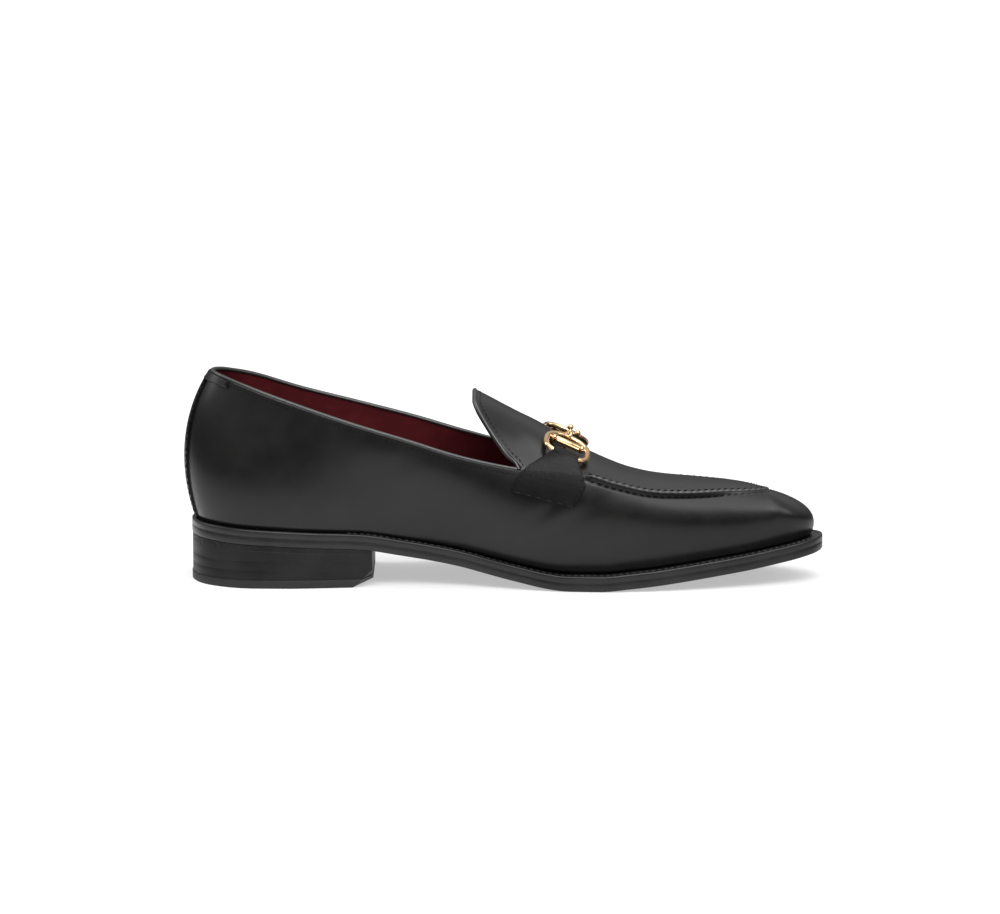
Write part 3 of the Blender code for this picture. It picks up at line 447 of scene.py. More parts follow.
@dataclass
class Surface:
    """Points and faces of one piece while it is being made."""

    ASIDE = (0.3, 0.2, 1.0)
    BEVEL_ANGLE = 50.0

    points: list[Array] = field(default_factory=list)
    faces: Faces = field(default_factory=list)

    def grid(self, rows: Sequence[Array], closed: bool = False, capped: bool = False) -> None:
        """Adds a grid of points with faces between its rows.

        Args:
            rows: Rows of points, all of one length.
            closed: Joins the last column to the first.
            capped: Closes the first and last row with a face.
        """
        start = len(self.points)
        count = len(rows[0])
        for row in rows:
            self.points += list(row)
        span = count if closed else count - 1
        for i in range(len(rows) - 1):
            for j in range(span):
                a = start + i * count + j
                b = start + i * count + (j + 1) % count
                self.faces.append((a, b, b + count, a + count))
        if capped:
            end = start + (len(rows) - 1) * count
            self.faces.append(tuple(range(start + count - 1, start - 1, -1)))
            self.faces.append(tuple(range(end, end + count)))

    def tube(self, path: Array, side: Array, up: Array, wide: Array, high: Array, facets: int,
             closed: bool = False) -> None:
        """Adds an oval rod along a path.

        Args:
            path: Centre of the rod.
            side: Direction of its width at each point.
            up: Direction of its height at each point.
            wide: Half widths.
            high: Half heights.
            facets: Facets round the rod.
            closed: Joins the end to the start.
        """
        turns = 2 * math.pi * (np.arange(facets) + 0.5) / facets
        wide = np.broadcast_to(np.asarray(wide, float), (len(path),))
        high = np.broadcast_to(np.asarray(high, float), (len(path),))
        rows = []
        for k, here in enumerate(path):
            cos, sin = np.cos(turns)[:, None], np.sin(turns)[:, None]
            rows.append(here + side[k] * wide[k] * cos + up[k] * high[k] * sin)
        if closed:
            rows.append(rows[0])
        self.grid(rows, closed=True, capped=not closed)

    def shell(self, grid: Array, normals: Array, low: float, high: float) -> None:
        """Adds a closed sheet of leather over a grid of surface points.

        Args:
            grid: Rows and columns of points.
            normals: Outward normals there.
            low: Height of its underside over the points.
            high: Height of its top.
        """
        start = len(self.points)
        rows, columns = grid.shape[:2]
        count = rows * columns
        self.points += list((grid + normals * low).reshape(-1, 3))
        self.points += list((grid + normals * high).reshape(-1, 3))
        for i in range(rows - 1):
            for j in range(columns - 1):
                a = start + i * columns + j
                quad = (a, a + 1, a + columns + 1, a + columns)
                self.faces.append(quad)
                self.faces.append(tuple(count + k for k in reversed(quad)))
        rim = list(range(columns))
        rim += [i * columns + columns - 1 for i in range(1, rows)]
        rim += [(rows - 1) * columns + j for j in range(columns - 2, -1, -1)]
        rim += [i * columns for i in range(rows - 2, 0, -1)]
        for a, b in zip(rim, rim[1:] + rim[:1]):
            self.faces.append((start + a, start + b, start + count + b, start + count + a))

    def turned(self, start: Array, end: Array, rows: Sequence[tuple[float, float]],
               facets: int) -> None:
        """Adds a turned rod between two points.

        Args:
            start: Start of its axis.
            end: End of its axis.
            rows: Shares of the way along, and radii.
            facets: Facets round it.
        """
        axis = unit(end - start)
        side = unit(np.cross(axis, self.ASIDE))
        other = np.cross(axis, side)
        path = np.array([start + (end - start) * share for share, _ in rows])
        radii = np.array([radius for _, radius in rows])
        sides = np.tile(side, (len(rows), 1))
        self.tube(path, sides, np.tile(other, (len(rows), 1)), radii, radii, facets)

    def piece(self, name: str, finish: "Finish", smooth: float = 40.0,
              bevel: float = 0.0) -> bpy.types.Object:
        """Makes the object, on the frame's origin.

        Args:
            name: Name of the piece.
            finish: Its finish.
            smooth: Angle in degrees below which edges are shaded smooth.
            bevel: Width of the rounding of sharp edges, in metres.

        Returns:
            The object, riding on the root body.
        """
        mesh = bpy.data.meshes.new(name)
        shift = np.array([LAST.heel_length / 2, 0.0, 0.0])
        mesh.from_pydata([tuple(point - shift) for point in self.points], [], self.faces)
        mesh.validate()
        mesh.shade_smooth()
        mesh.set_sharp_from_angle(angle=math.radians(smooth))
        mesh.materials.append(finish.material())
        item = bpy.data.objects.new(name, mesh)
        bpy.context.scene.collection.objects.link(item)
        if bevel:
            rounding = item.modifiers.new("rounding", "BEVEL")
            rounding.width = bevel
            rounding.segments = 2
            rounding.limit_method = "ANGLE"
            rounding.angle_limit = math.radians(self.BEVEL_ANGLE)
        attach(item, "root")
        LOG.info("%s: %d points, %d faces", name, len(self.points), len(self.faces))
        return item


class Graph:
    """Short calls for the nodes of a material or group."""

    def __init__(self, tree: bpy.types.NodeTree) -> None:
        """Keeps the node tree that is filled."""
        self.tree = tree

    def add(self, kind: str, **settings: object) -> bpy.types.Node:
        """Adds a node.

        Args:
            kind: Node type without its "ShaderNode" start.
            **settings: Values for its properties.

        Returns:
            The node.
        """
        node = self.tree.nodes.new("ShaderNode" + kind if not kind.startswith("Node") else kind)
        for key, value in settings.items():
            setattr(node, key, value)
        return node

    def link(self, source: object, target: Socket) -> None:
        """Links a socket, or sets a constant.

        Args:
            source: Output socket or number.
            target: Input socket.
        """
        if isinstance(source, Socket):
            self.tree.links.new(source, target)
        else:
            target.default_value = source

    def math(self, operation: str, *values: object) -> Socket:
        """Adds a Math node.

        Args:
            operation: Blender's name of the operation.
            *values: Sockets or numbers.

        Returns:
            The result.
        """
        node = self.add("Math", operation=operation)
        for value, target in zip(values, node.inputs):
            self.link(value, target)
        return node.outputs[0]

    def noise(self, vector: object, scale: float, detail: float = 2.0) -> Socket:
        """Adds a noise texture.

        Args:
            vector: Coordinates.
            scale: Waves in a metre.
            detail: Octaves.

        Returns:
            Its value, about 0 to 1.
        """
        node = self.add("TexNoise")
        self.link(vector, node.inputs["Vector"])
        node.inputs["Scale"].default_value = scale
        node.inputs["Detail"].default_value = detail
        return node.outputs[0]

    def ramp(self, value: object, low: float, high: float, start: float = 0.0,
             end: float = 1.0) -> Socket:
        """Maps one range to another, clipped.

        Args:
            value: Socket to map.
            low: Start of the range.
            high: End of the range.
            start: Result at the start.
            end: Result at the end.

        Returns:
            The result.
        """
        node = self.add("MapRange")
        for number, item in enumerate((value, low, high, start, end)):
            self.link(item, node.inputs[number])
        return node.outputs[0]


class Effect(Enum):
    """Shared effects, each one a node group."""

    GRAIN = "leather_grain"
    TONE = "tone_drift"
    STREAKS = "burnished_streaks"
    FUDGE = "fudge_marks"


def effect_group(effect: Effect) -> bpy.types.NodeTree:
    """Gives a shared effect's node group, made on first use.

    Args:
        effect: The effect.

    Returns:
        A group from Vector to Height and Mask.
    """
    found = bpy.data.node_groups.get(effect.value)
    if found is not None:
        return found
    tree = bpy.data.node_groups.new(effect.value, "ShaderNodeTree")
    tree.interface.new_socket("Vector", in_out="INPUT", socket_type="NodeSocketVector")
    tree.interface.new_socket("Height", in_out="OUTPUT", socket_type="NodeSocketFloat")
    tree.interface.new_socket("Mask", in_out="OUTPUT", socket_type="NodeSocketFloat")
    graph = Graph(tree)
    vector = graph.add("NodeGroupInput").outputs["Vector"]
    result = graph.add("NodeGroupOutput")
    height, mask = EFFECT_NODES[effect](graph, vector)
    graph.link(height, result.inputs["Height"])
    graph.link(mask, result.inputs["Mask"])
    return tree


# Noises of the effects, in waves in a metre
PEBBLE_WAVES, PORE_WAVES, WRINKLE_WAVES = 1500.0, 2600.0, 420.0
DRIFT_WAVES, CLOUD_WAVES = 28.0, 120.0
STREAK_WAVES, SPOT_WAVES = 1700.0, 700.0
STREAK_STRETCH = (0.04, 0.04, 1.0)

# Fudge marks: height and slope of their band, half width and fade, front end, relief and teeth
FUDGE_LEVEL, FUDGE_SLOPE = 0.0184, 0.045
FUDGE_BAND = (0.0006, 0.0011)
FUDGE_END = (0.041, 0.044)
FUDGE_RELIEF = 5.0
TEETH_TURN = 4700.0
TEETH_RAMP = (0.2, 0.7)


def grain_nodes(graph: Graph, vector: Socket) -> tuple[object, object]:
    """Pebbles and pores of leather.

    Args:
        graph: The group's graph.
        vector: Coordinates.

    Returns:
        Height and mask.
    """
    cells = graph.add("TexVoronoi", feature="SMOOTH_F1")
    graph.link(vector, cells.inputs["Vector"])
    cells.inputs["Scale"].default_value = PEBBLE_WAVES
    pebble = graph.math("MULTIPLY", cells.outputs["Distance"], 0.8)
    fine = graph.noise(vector, PORE_WAVES, 3.0)
    soft = graph.noise(vector, WRINKLE_WAVES, 3.0)
    height = graph.math("ADD", graph.math("ADD", pebble, graph.math("MULTIPLY", fine, 0.5)), soft)
    return height, graph.ramp(soft, 0.35, 0.65)


def tone_nodes(graph: Graph, vector: Socket) -> tuple[object, object]:
    """Slow drift of tone and polish over the leather.

    Args:
        graph: The group's graph.
        vector: Coordinates.

    Returns:
        Height and mask.
    """
    wide = graph.noise(vector, DRIFT_WAVES)
    middle = graph.noise(vector, CLOUD_WAVES, 3.0)
    both = graph.math("ADD", graph.math("MULTIPLY", wide, 0.65),
                      graph.math("MULTIPLY", middle, 0.35))
    return wide, graph.ramp(both, 0.38, 0.62)


def streak_nodes(graph: Graph, vector: Socket) -> tuple[object, object]:
    """Fine level streaks that trimming and burnishing leave on an edge.

    Args:
        graph: The group's graph.
        vector: Coordinates.

    Returns:
        Height and mask.
    """
    stretch = graph.add("VectorMath", operation="MULTIPLY")
    graph.link(vector, stretch.inputs[0])
    stretch.inputs[1].default_value = STREAK_STRETCH
    streaks = graph.noise(stretch.outputs[0], STREAK_WAVES, 3.0)
    spots = graph.noise(vector, SPOT_WAVES)
    height = graph.math("ADD", streaks, graph.math("MULTIPLY", spots, 0.5))
    return height, graph.ramp(streaks, 0.42, 0.66)


def fudge_nodes(graph: Graph, vector: Socket) -> tuple[object, object]:
    """Little upright marks of the fudge wheel in one band.

    Args:
        graph: The group's graph.
        vector: Coordinates.

    Returns:
        Height and mask.
    """
    parts = graph.add("SeparateXYZ")
    graph.link(vector, parts.inputs[0])
    level = graph.math("MULTIPLY_ADD", parts.outputs["X"], FUDGE_SLOPE, parts.outputs["Z"])
    off = graph.math("ABSOLUTE", graph.math("SUBTRACT", level, FUDGE_LEVEL))
    band = graph.ramp(off, *FUDGE_BAND, 1.0, 0.0)
    diagonal = graph.math("ADD", parts.outputs["X"], parts.outputs["Y"])
    turn = graph.math("MULTIPLY", diagonal, TEETH_TURN)
    teeth = graph.ramp(graph.math("SINE", turn), *TEETH_RAMP)
    reach = graph.ramp(parts.outputs["X"], *FUDGE_END, 1.0, 0.0)
    mask = graph.math("MULTIPLY", graph.math("MULTIPLY", band, reach), teeth)
    return graph.math("MULTIPLY", mask, -1.0), mask


EFFECT_NODES: dict[Effect, Callable[[Graph, Socket], tuple[object, object]]] = {
    Effect.GRAIN: grain_nodes,
    Effect.TONE: tone_nodes,
    Effect.STREAKS: streak_nodes,
    Effect.FUDGE: fudge_nodes,
}


@dataclass(frozen=True)
class Finish:
    """A procedural finish.

    Attributes:
        name: Name of the material.
        dark: Base colour at the low end of the tone.
        light: Base colour at the high end.
        rough: Lowest and highest roughness.
        bump: Strength of the relief.
        depth: Height of the relief, in metres.
        effect: Effect that gives relief and roughness.
        coat: Weight of the polish.
        coat_rough: Roughness of the polish.
        metallic: 1 for metal.
        specular: Level of the plain reflection.
        marks: Whether the band of fudge marks is added.
    """

    name: str
    dark: tuple[float, float, float]
    light: tuple[float, float, float]
    rough: tuple[float, float]
    bump: float
    depth: float
    effect: Effect = Effect.GRAIN
    coat: float = 0.0
    coat_rough: float = 0.2
    metallic: float = 0.0
    specular: float = 0.5
    marks: bool = False

    def material(self) -> bpy.types.Material:
        """Makes the material, once.

        Returns:
            The material.
        """
        found = bpy.data.materials.get(self.name)
        if found is not None:
            return found
        material = bpy.data.materials.new(self.name)
        material.use_nodes = True
        graph = Graph(material.node_tree)
        shader = material.node_tree.nodes["Principled BSDF"]
        place = graph.add("TexCoord").outputs["Object"]
        relief = self._group(graph, self.effect, place)
        tone = self._group(graph, Effect.TONE, place)
        mix = graph.add("Mix", data_type="RGBA")
        graph.link(tone.outputs["Mask"], mix.inputs["Factor"])
        mix.inputs[6].default_value = (*self.dark, 1.0)
        mix.inputs[7].default_value = (*self.light, 1.0)
        graph.link(mix.outputs[2], shader.inputs["Base Color"])
        blend = graph.math("ADD", graph.math("MULTIPLY", relief.outputs["Mask"], 0.5),
                           graph.math("MULTIPLY", tone.outputs["Mask"], 0.5))
        graph.link(graph.ramp(blend, 0.0, 1.0, *self.rough), shader.inputs["Roughness"])
        height = relief.outputs["Height"]
        if self.marks:
            marks = self._group(graph, Effect.FUDGE, place)
            height = graph.math("MULTIPLY_ADD", marks.outputs["Height"], FUDGE_RELIEF, height)
        bump = graph.add("Bump")
        bump.inputs["Strength"].default_value = self.bump
        bump.inputs["Distance"].default_value = self.depth
        graph.link(height, bump.inputs["Height"])
        graph.link(bump.outputs[0], shader.inputs["Normal"])
        shader.inputs["Coat Weight"].default_value = self.coat
        shader.inputs["Coat Roughness"].default_value = self.coat_rough
        shader.inputs["Metallic"].default_value = self.metallic
        shader.inputs["Specular IOR Level"].default_value = self.specular
        return material

    @staticmethod
    def _group(graph: Graph, effect: Effect, place: Socket) -> bpy.types.Node:
        """Adds one shared effect to the material.

        Args:
            graph: The material's graph.
            effect: The effect.
            place: Coordinates.

        Returns:
            The group node.
        """
        node = graph.add("Group")
        node.node_tree = effect_group(effect)
        graph.link(place, node.inputs["Vector"])
        return node


CALF = Finish("calf_polished", (0.0035, 0.0035, 0.0037), (0.0070, 0.0069, 0.0066), (0.29, 0.37),
              0.10, 0.00012, coat=0.10, coat_rough=0.22, specular=0.34)
BINDING = Finish("calf_binding", (0.007, 0.007, 0.007), (0.012, 0.012, 0.012), (0.34, 0.44),
                 0.16, 0.00014, coat=0.35, coat_rough=0.25, specular=0.60)
STRAP = Finish("strap_grained", (0.0026, 0.0026, 0.0027), (0.0050, 0.0049, 0.0047), (0.40, 0.50),
               0.42, 0.00018, specular=0.19)
LINING = Finish("lining_burgundy", (0.078, 0.004, 0.007), (0.125, 0.008, 0.012), (0.50, 0.62),
                0.20, 0.00014)
EDGE = Finish("edge_painted", (0.006, 0.006, 0.006), (0.013, 0.013, 0.0135), (0.34, 0.52),
              0.30, 0.00018, Effect.STREAKS, coat=0.30, coat_rough=0.20, specular=0.30, marks=True)
HEEL = Finish("heel_stacked", (0.006, 0.006, 0.006), (0.014, 0.014, 0.0145), (0.38, 0.58),
              0.45, 0.00022, Effect.STREAKS, specular=0.22, marks=True)
RUBBER = Finish("top_piece_rubber", (0.008, 0.008, 0.008), (0.014, 0.014, 0.014), (0.55, 0.70),
                0.30, 0.00015)
THREAD = Finish("waxed_thread", (0.003, 0.003, 0.003), (0.008, 0.008, 0.008), (0.38, 0.55),
                0.40, 0.00008, specular=0.08)
# Welt thread: its lighter grey base colour is partly a painted highlight for the bright flecks on
# the waxed thread; its high specular level gives real gloss
WELT_THREAD_WITH_PAINTED_HIGHLIGHT = Finish("welt_thread_painted_highlight", (0.020, 0.020, 0.020), (0.050, 0.049, 0.047), (0.24, 0.36),
                     0.30, 0.00008, specular=0.70)
GOLD = Finish("gold_plated", (0.74, 0.47, 0.24), (0.88, 0.60, 0.34), (0.06, 0.13),
              0.04, 0.00003, metallic=1.0)


@dataclass(frozen=True)
class Stitching:
    """Rows of stitches: pitch, stitch as a share of it, thread's width and rise, in metres."""

    BOW = (-1.0, -0.8, -0.35, 0.35, 0.8, 1.0)
    THINNEST = 0.06
    SUNK = 0.2
    FACETS = 6

    pitch: float
    share: float
    width: float
    rise: float

    def sew(self, name: str, lines: Sequence[tuple[Array, Array]], finish: Finish,
            slot: Slot) -> None:
        """Makes the stitches along some lines as one piece.

        Args:
            name: Name of the piece.
            lines: Points of each row on the leather, and outward normals there.
            finish: Finish of the thread.
            slot: Material slot of the record; not used.
        """
        surface = Surface()
        bow = np.array(self.BOW)
        swell = np.sqrt(np.clip(1.0 - bow ** 2, self.THINNEST, 1.0))
        thick = self.width / 2 * swell
        for path, normals in lines:
            length = running_length(path)
            number = max(int(length[-1] / self.pitch), 1)
            pitch = length[-1] / number
            half = pitch * self.share / 2
            for k in range(number):
                at = (k + 0.5) * pitch + bow * half
                here = read_rows(path, length, at)
                up = unit(read_rows(normals, length, at))
                side = unit(np.cross(up, here[-1] - here[0]))
                here = here + up * (swell * self.rise - self.width * self.SUNK)[:, None]
                surface.tube(here, side, up, thick, thick, self.FACETS)
        surface.piece(name, finish)


@dataclass
class Upper:
    """The upper with its lining: walls, apron and tongue as one sheet of leather."""

    edge: SoleEdge
    wall: Wall
    finer: int = 6
    crown_power: float = 2.3
    blend: float = 0.011
    eased: int = 12
    ease_passes: int = 40
    seam_rise: float = 0.0011
    girth_centre: float = 0.0352
    toe_share: float = 0.75
    toe_start: float = 0.246
    toe_fade: float = 0.026
    seam_start: float = 0.188
    seam_fade: float = 0.006
    seam_foot: float = 0.955
    fine_above: float = 0.90
    wall_rows: tuple[int, int] = (27, 11)
    tongue_finer: int = 4
    look_ahead: int = 3
    pucker_pitch: float = 0.0036
    pucker_depth: float = 0.00070
    pucker_level: float = 0.948
    pucker_reach: float = 0.014
    pucker_least: float = 0.35
    crease_slant: float = 0.05
    crease_reach: float = 0.06
    above: float = 1.0
    seam: Array | None = None
    seam_normals: Array | None = None
    collar: list[int] = field(default_factory=list)
    tongue: list[int] = field(default_factory=list)
    points: list[Array] = field(default_factory=list)
    faces: Faces = field(default_factory=list)
    normals: list[Array] = field(default_factory=list)
    tree: BVHTree | None = None

    def crest(self, along: Array) -> Array:
        """Gives the height of the crest of tongue and apron at lengths along the sole."""
        return profile(CREST, LAST.instep_height, along)

    def rung(self, inner: Array, outer: Array, columns: Array) -> Array:
        """Points across the apron, crowned up to the crest.

        Args:
            inner: Its inner end.
            outer: Its outer end.
            columns: Shares of the way across.

        Returns:
            Rows of points.
        """
        share = np.asarray(columns)[:, None]
        base = inner + (outer - inner) * share
        rise = self.crest(base[:, 0]) - (inner[2] + outer[2]) / 2
        base[:, 2] += rise * (1 - np.abs(2 * share[:, 0] - 1) ** self.crown_power)
        return base

    def tongue_rungs(self, throat: tuple[Array, Array], ahead: tuple[Array, Array],
                     columns: Array) -> list[Array]:
        """Rungs of the tongue from its tip to the throat, with the apron's crown run on.

        Args:
            throat: Inner and outer end of the throat's rung.
            ahead: The ends of a rung a little further on.
            columns: Shares of the way across.

        Returns:
            Rows of points.
        """
        inner, outer = throat
        full = self.crest([inner[0]])[0] - (inner[2] + outer[2]) / 2
        further = self.crest([ahead[0][0]])[0] - (ahead[0][2] + ahead[1][2]) / 2
        slope = (further - full) / (ahead[0][0] - inner[0])
        table = np.array(TONGUE + ((inner[0] / LAST.sole_length, -inner[1] / LAST.ball_width),))
        cells = len(table) - 1
        fine = np.linspace(0, cells, cells * self.tongue_finer, endpoint=False)
        rows = spline(np.arange(len(table)), table, fine) * (LAST.sole_length, LAST.ball_width)
        swing = outer[1] / -inner[1]
        rungs = []
        for along, width in rows:
            across = -width + width * (2 + (swing - 1) * width / -inner[1]) * np.asarray(columns)
            half = np.where(across < 0, -inner[1], outer[1])
            crown = np.abs(across / half) ** self.crown_power
            behind = along - inner[0]
            drop = full + slope * behind * math.exp(behind / self.blend)
            height = self.crest(np.full(len(across), along)) - drop * crown
            rungs.append(np.column_stack([np.full(len(across), along), across, height]))
        return rungs

    def crease_depth(self, up: float, along: Array, side: Array) -> Array:
        """How far soft creases sink into a row of the wall.

        Args:
            up: Share of the way up.
            along: Lengths of the points.
            side: -1 or 1 for each point.

        Returns:
            Depths in metres.
        """
        depth = np.zeros(len(along))
        for sign, place, middle, length, width, deep in CREASES:
            slant = (up - middle) * self.crease_slant
            across = (along - place * LAST.sole_length - slant) / width
            reach = (up - middle) * self.crease_reach / length * 2
            bell = np.exp(-across ** 2) * math.exp(-reach ** 2)
            depth += np.where(side == sign, deep * bell, 0.0)
        return depth

    def rings(self, around: Array, top: Array, lean: Array, inside: Array) -> list[Array]:
        """Rows of the wall from the sole up, with its creases and the puckered, raised seam.

        Args:
            around: Shares of the way round.
            top: Points of the top line.
            lean: Directions that the seam stands up in.
            inside: Whether each point of the top line borders the apron.

        Returns:
            The rows of points.
        """
        count = len(around)
        rise = self.seam_rise * smooth_step((top[:, 0] - self.seam_start) / self.seam_fade) * inside
        faded = smooth_step((top[:, 0] - self.toe_start) / self.toe_fade)
        rise = rise * (1 - self.toe_share * faded)
        wave = np.abs(np.sin(math.pi * running_length(top) / self.pucker_pitch))
        gathers = self.pucker_least + (1 - self.pucker_least) * wave
        side = np.where(around < self.edge.way_round(LAST.sole_length, -1), -1, 1)
        low, high = self.wall_rows
        rings = []
        for up in np.r_[np.linspace(0.0, self.fine_above, low, endpoint=False),
                        np.linspace(self.fine_above, 1.0, high)]:
            ring = self.wall.points(around, np.full(count, up))
            normal = self.wall.normals(around, np.full(count, min(up, self.wall.BELOW_TOP)))
            lifted = smooth_step((up - self.seam_foot) / (1 - self.seam_foot))
            pucker = math.exp(-((up - self.pucker_level) / self.pucker_reach) ** 2)
            sink = self.crease_depth(up, ring[:, 0], side)
            sink += pucker * self.pucker_depth * gathers * rise / self.seam_rise
            rings.append(ring + lean * (rise * lifted)[:, None] - normal * sink[:, None])
        return rings

    def sheet(self) -> None:
        """Works out the outer face, its free edges and the line of the apron seam."""
        around, numbers = self.wall.stations(self.finer)
        count = len(around)
        throat_in, corner_in = numbers[INNER_THROAT], numbers[INNER_CORNER]
        corner_out, throat_out = numbers[OUTER_CORNER], numbers[OUTER_THROAT]
        top = self.wall.points(around, np.ones(count))
        lean = unit(self.wall.normals(around, np.ones(count)) + (0.0, 0.0, 1.0))
        inside = (np.arange(count) >= throat_in) & (np.arange(count) <= throat_out)
        surface = Surface()
        surface.grid(self.rings(around, top, lean, inside), closed=True)
        points, faces = surface.points, surface.faces
        last = len(points) - count
        cells = len(APRON_COLUMNS) - 1
        fine = np.linspace(0, cells, cells * self.finer + 1)
        columns = np.interp(fine, np.arange(cells + 1), APRON_COLUMNS)
        grid = []
        ends, ahead = ((points[last + throat_in + n], points[last + throat_out - n])
                       for n in (0, self.look_ahead))
        for rung in self.tongue_rungs(ends, ahead, columns):
            grid.append(list(range(len(points), len(points) + len(rung))))
            points += list(rung)
        tongue_count = len(grid)
        for left, right in zip(range(throat_in, corner_in), range(throat_out, corner_out, -1)):
            rung = self.rung(points[last + left], points[last + right], columns)[1:-1]
            middle = range(len(points), len(points) + len(rung))
            grid.append([last + left, *middle, last + right])
            points += list(rung)
        grid.append([last + k for k in range(corner_in, corner_out + 1)])
        self.ease(points, grid[tongue_count - self.eased:tongue_count + self.eased])
        for row, following in zip(grid, grid[1:]):
            for j in range(len(row) - 1):
                faces.append((row[j], following[j], following[j + 1], row[j + 1]))
        self.collar = [last + k % count for k in range(throat_out, throat_in + count + 1)]
        self.tongue = [row[0] for row in grid[tongue_count::-1]] + grid[0][1:-1]
        self.tongue += [row[-1] for row in grid[:tongue_count + 1]]
        self.points, self.faces = points, faces
        seam = [k for k in range(throat_in, throat_out + 1) if top[k, 0] > self.seam_start]
        self.seam = np.array([points[last + k] for k in seam])
        self.seam_normals = lean[seam]
        self.tree = BVHTree.FromPolygons([Vector(point) for point in points], faces)

    def ease(self, points: list[Array], rows: list[list[int]]) -> None:
        """Evens out the inner points of some rungs, so that tongue and apron run on smoothly.

        Args:
            points: All points of the sheet, changed in place.
            rows: Point numbers of the rungs.
        """
        block = np.array([[points[k] for k in row] for row in rows])
        for _ in range(self.ease_passes):
            block[1:-1, 1:-1] = (block[:-2, 1:-1] + 2 * block[1:-1, 1:-1] + block[2:, 1:-1]) / 4
        for row, line in zip(rows, block):
            for k, point in zip(row, line):
                points[k] = point

    def build(self) -> bpy.types.Object:
        """Makes the upper, calf outside and lining inside.

        Returns:
            The piece.
        """
        self.sheet()
        item = Surface(self.points, self.faces).piece("upper_leather", CALF)
        self.normals = [np.array(vertex.normal) for vertex in item.data.vertices]
        item.data.materials.append(LINING.material())
        leather = item.modifiers.new("leather", "SOLIDIFY")
        leather.thickness = LAST.wall
        leather.offset = -1.0
        leather.material_offset = 1
        leather.material_offset_rim = 0
        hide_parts("upper")
        return item

    def cast(self, along: float, across: float) -> tuple[Array, Array]:
        """Gives the point on the upper straight below a place, and its outward normal."""
        hit, normal, _, _ = self.tree.ray_cast(Vector((along, across, self.above)), DOWN)
        return np.array(hit), np.array(normal)

    def drape(self, along: float, degrees: float, side: int) -> tuple[Array, Array]:
        """Point on the upper at a length and an angle round the foot.

        Args:
            along: Length from the back of the sole.
            degrees: Angle above the level, seen along the shoe.
            side: -1 or 1.

        Returns:
            The point and its outward normal.
        """
        turn = math.radians(degrees)
        centre = Vector((along, 0.0, self.girth_centre))
        away = Vector((0.0, side * math.cos(turn), math.sin(turn)))
        hit, normal, _, _ = self.tree.ray_cast(centre + away * LAST.ball_width, -away)
        if normal.dot(away) < 0:
            normal = -normal
        return np.array(hit), np.array(normal)


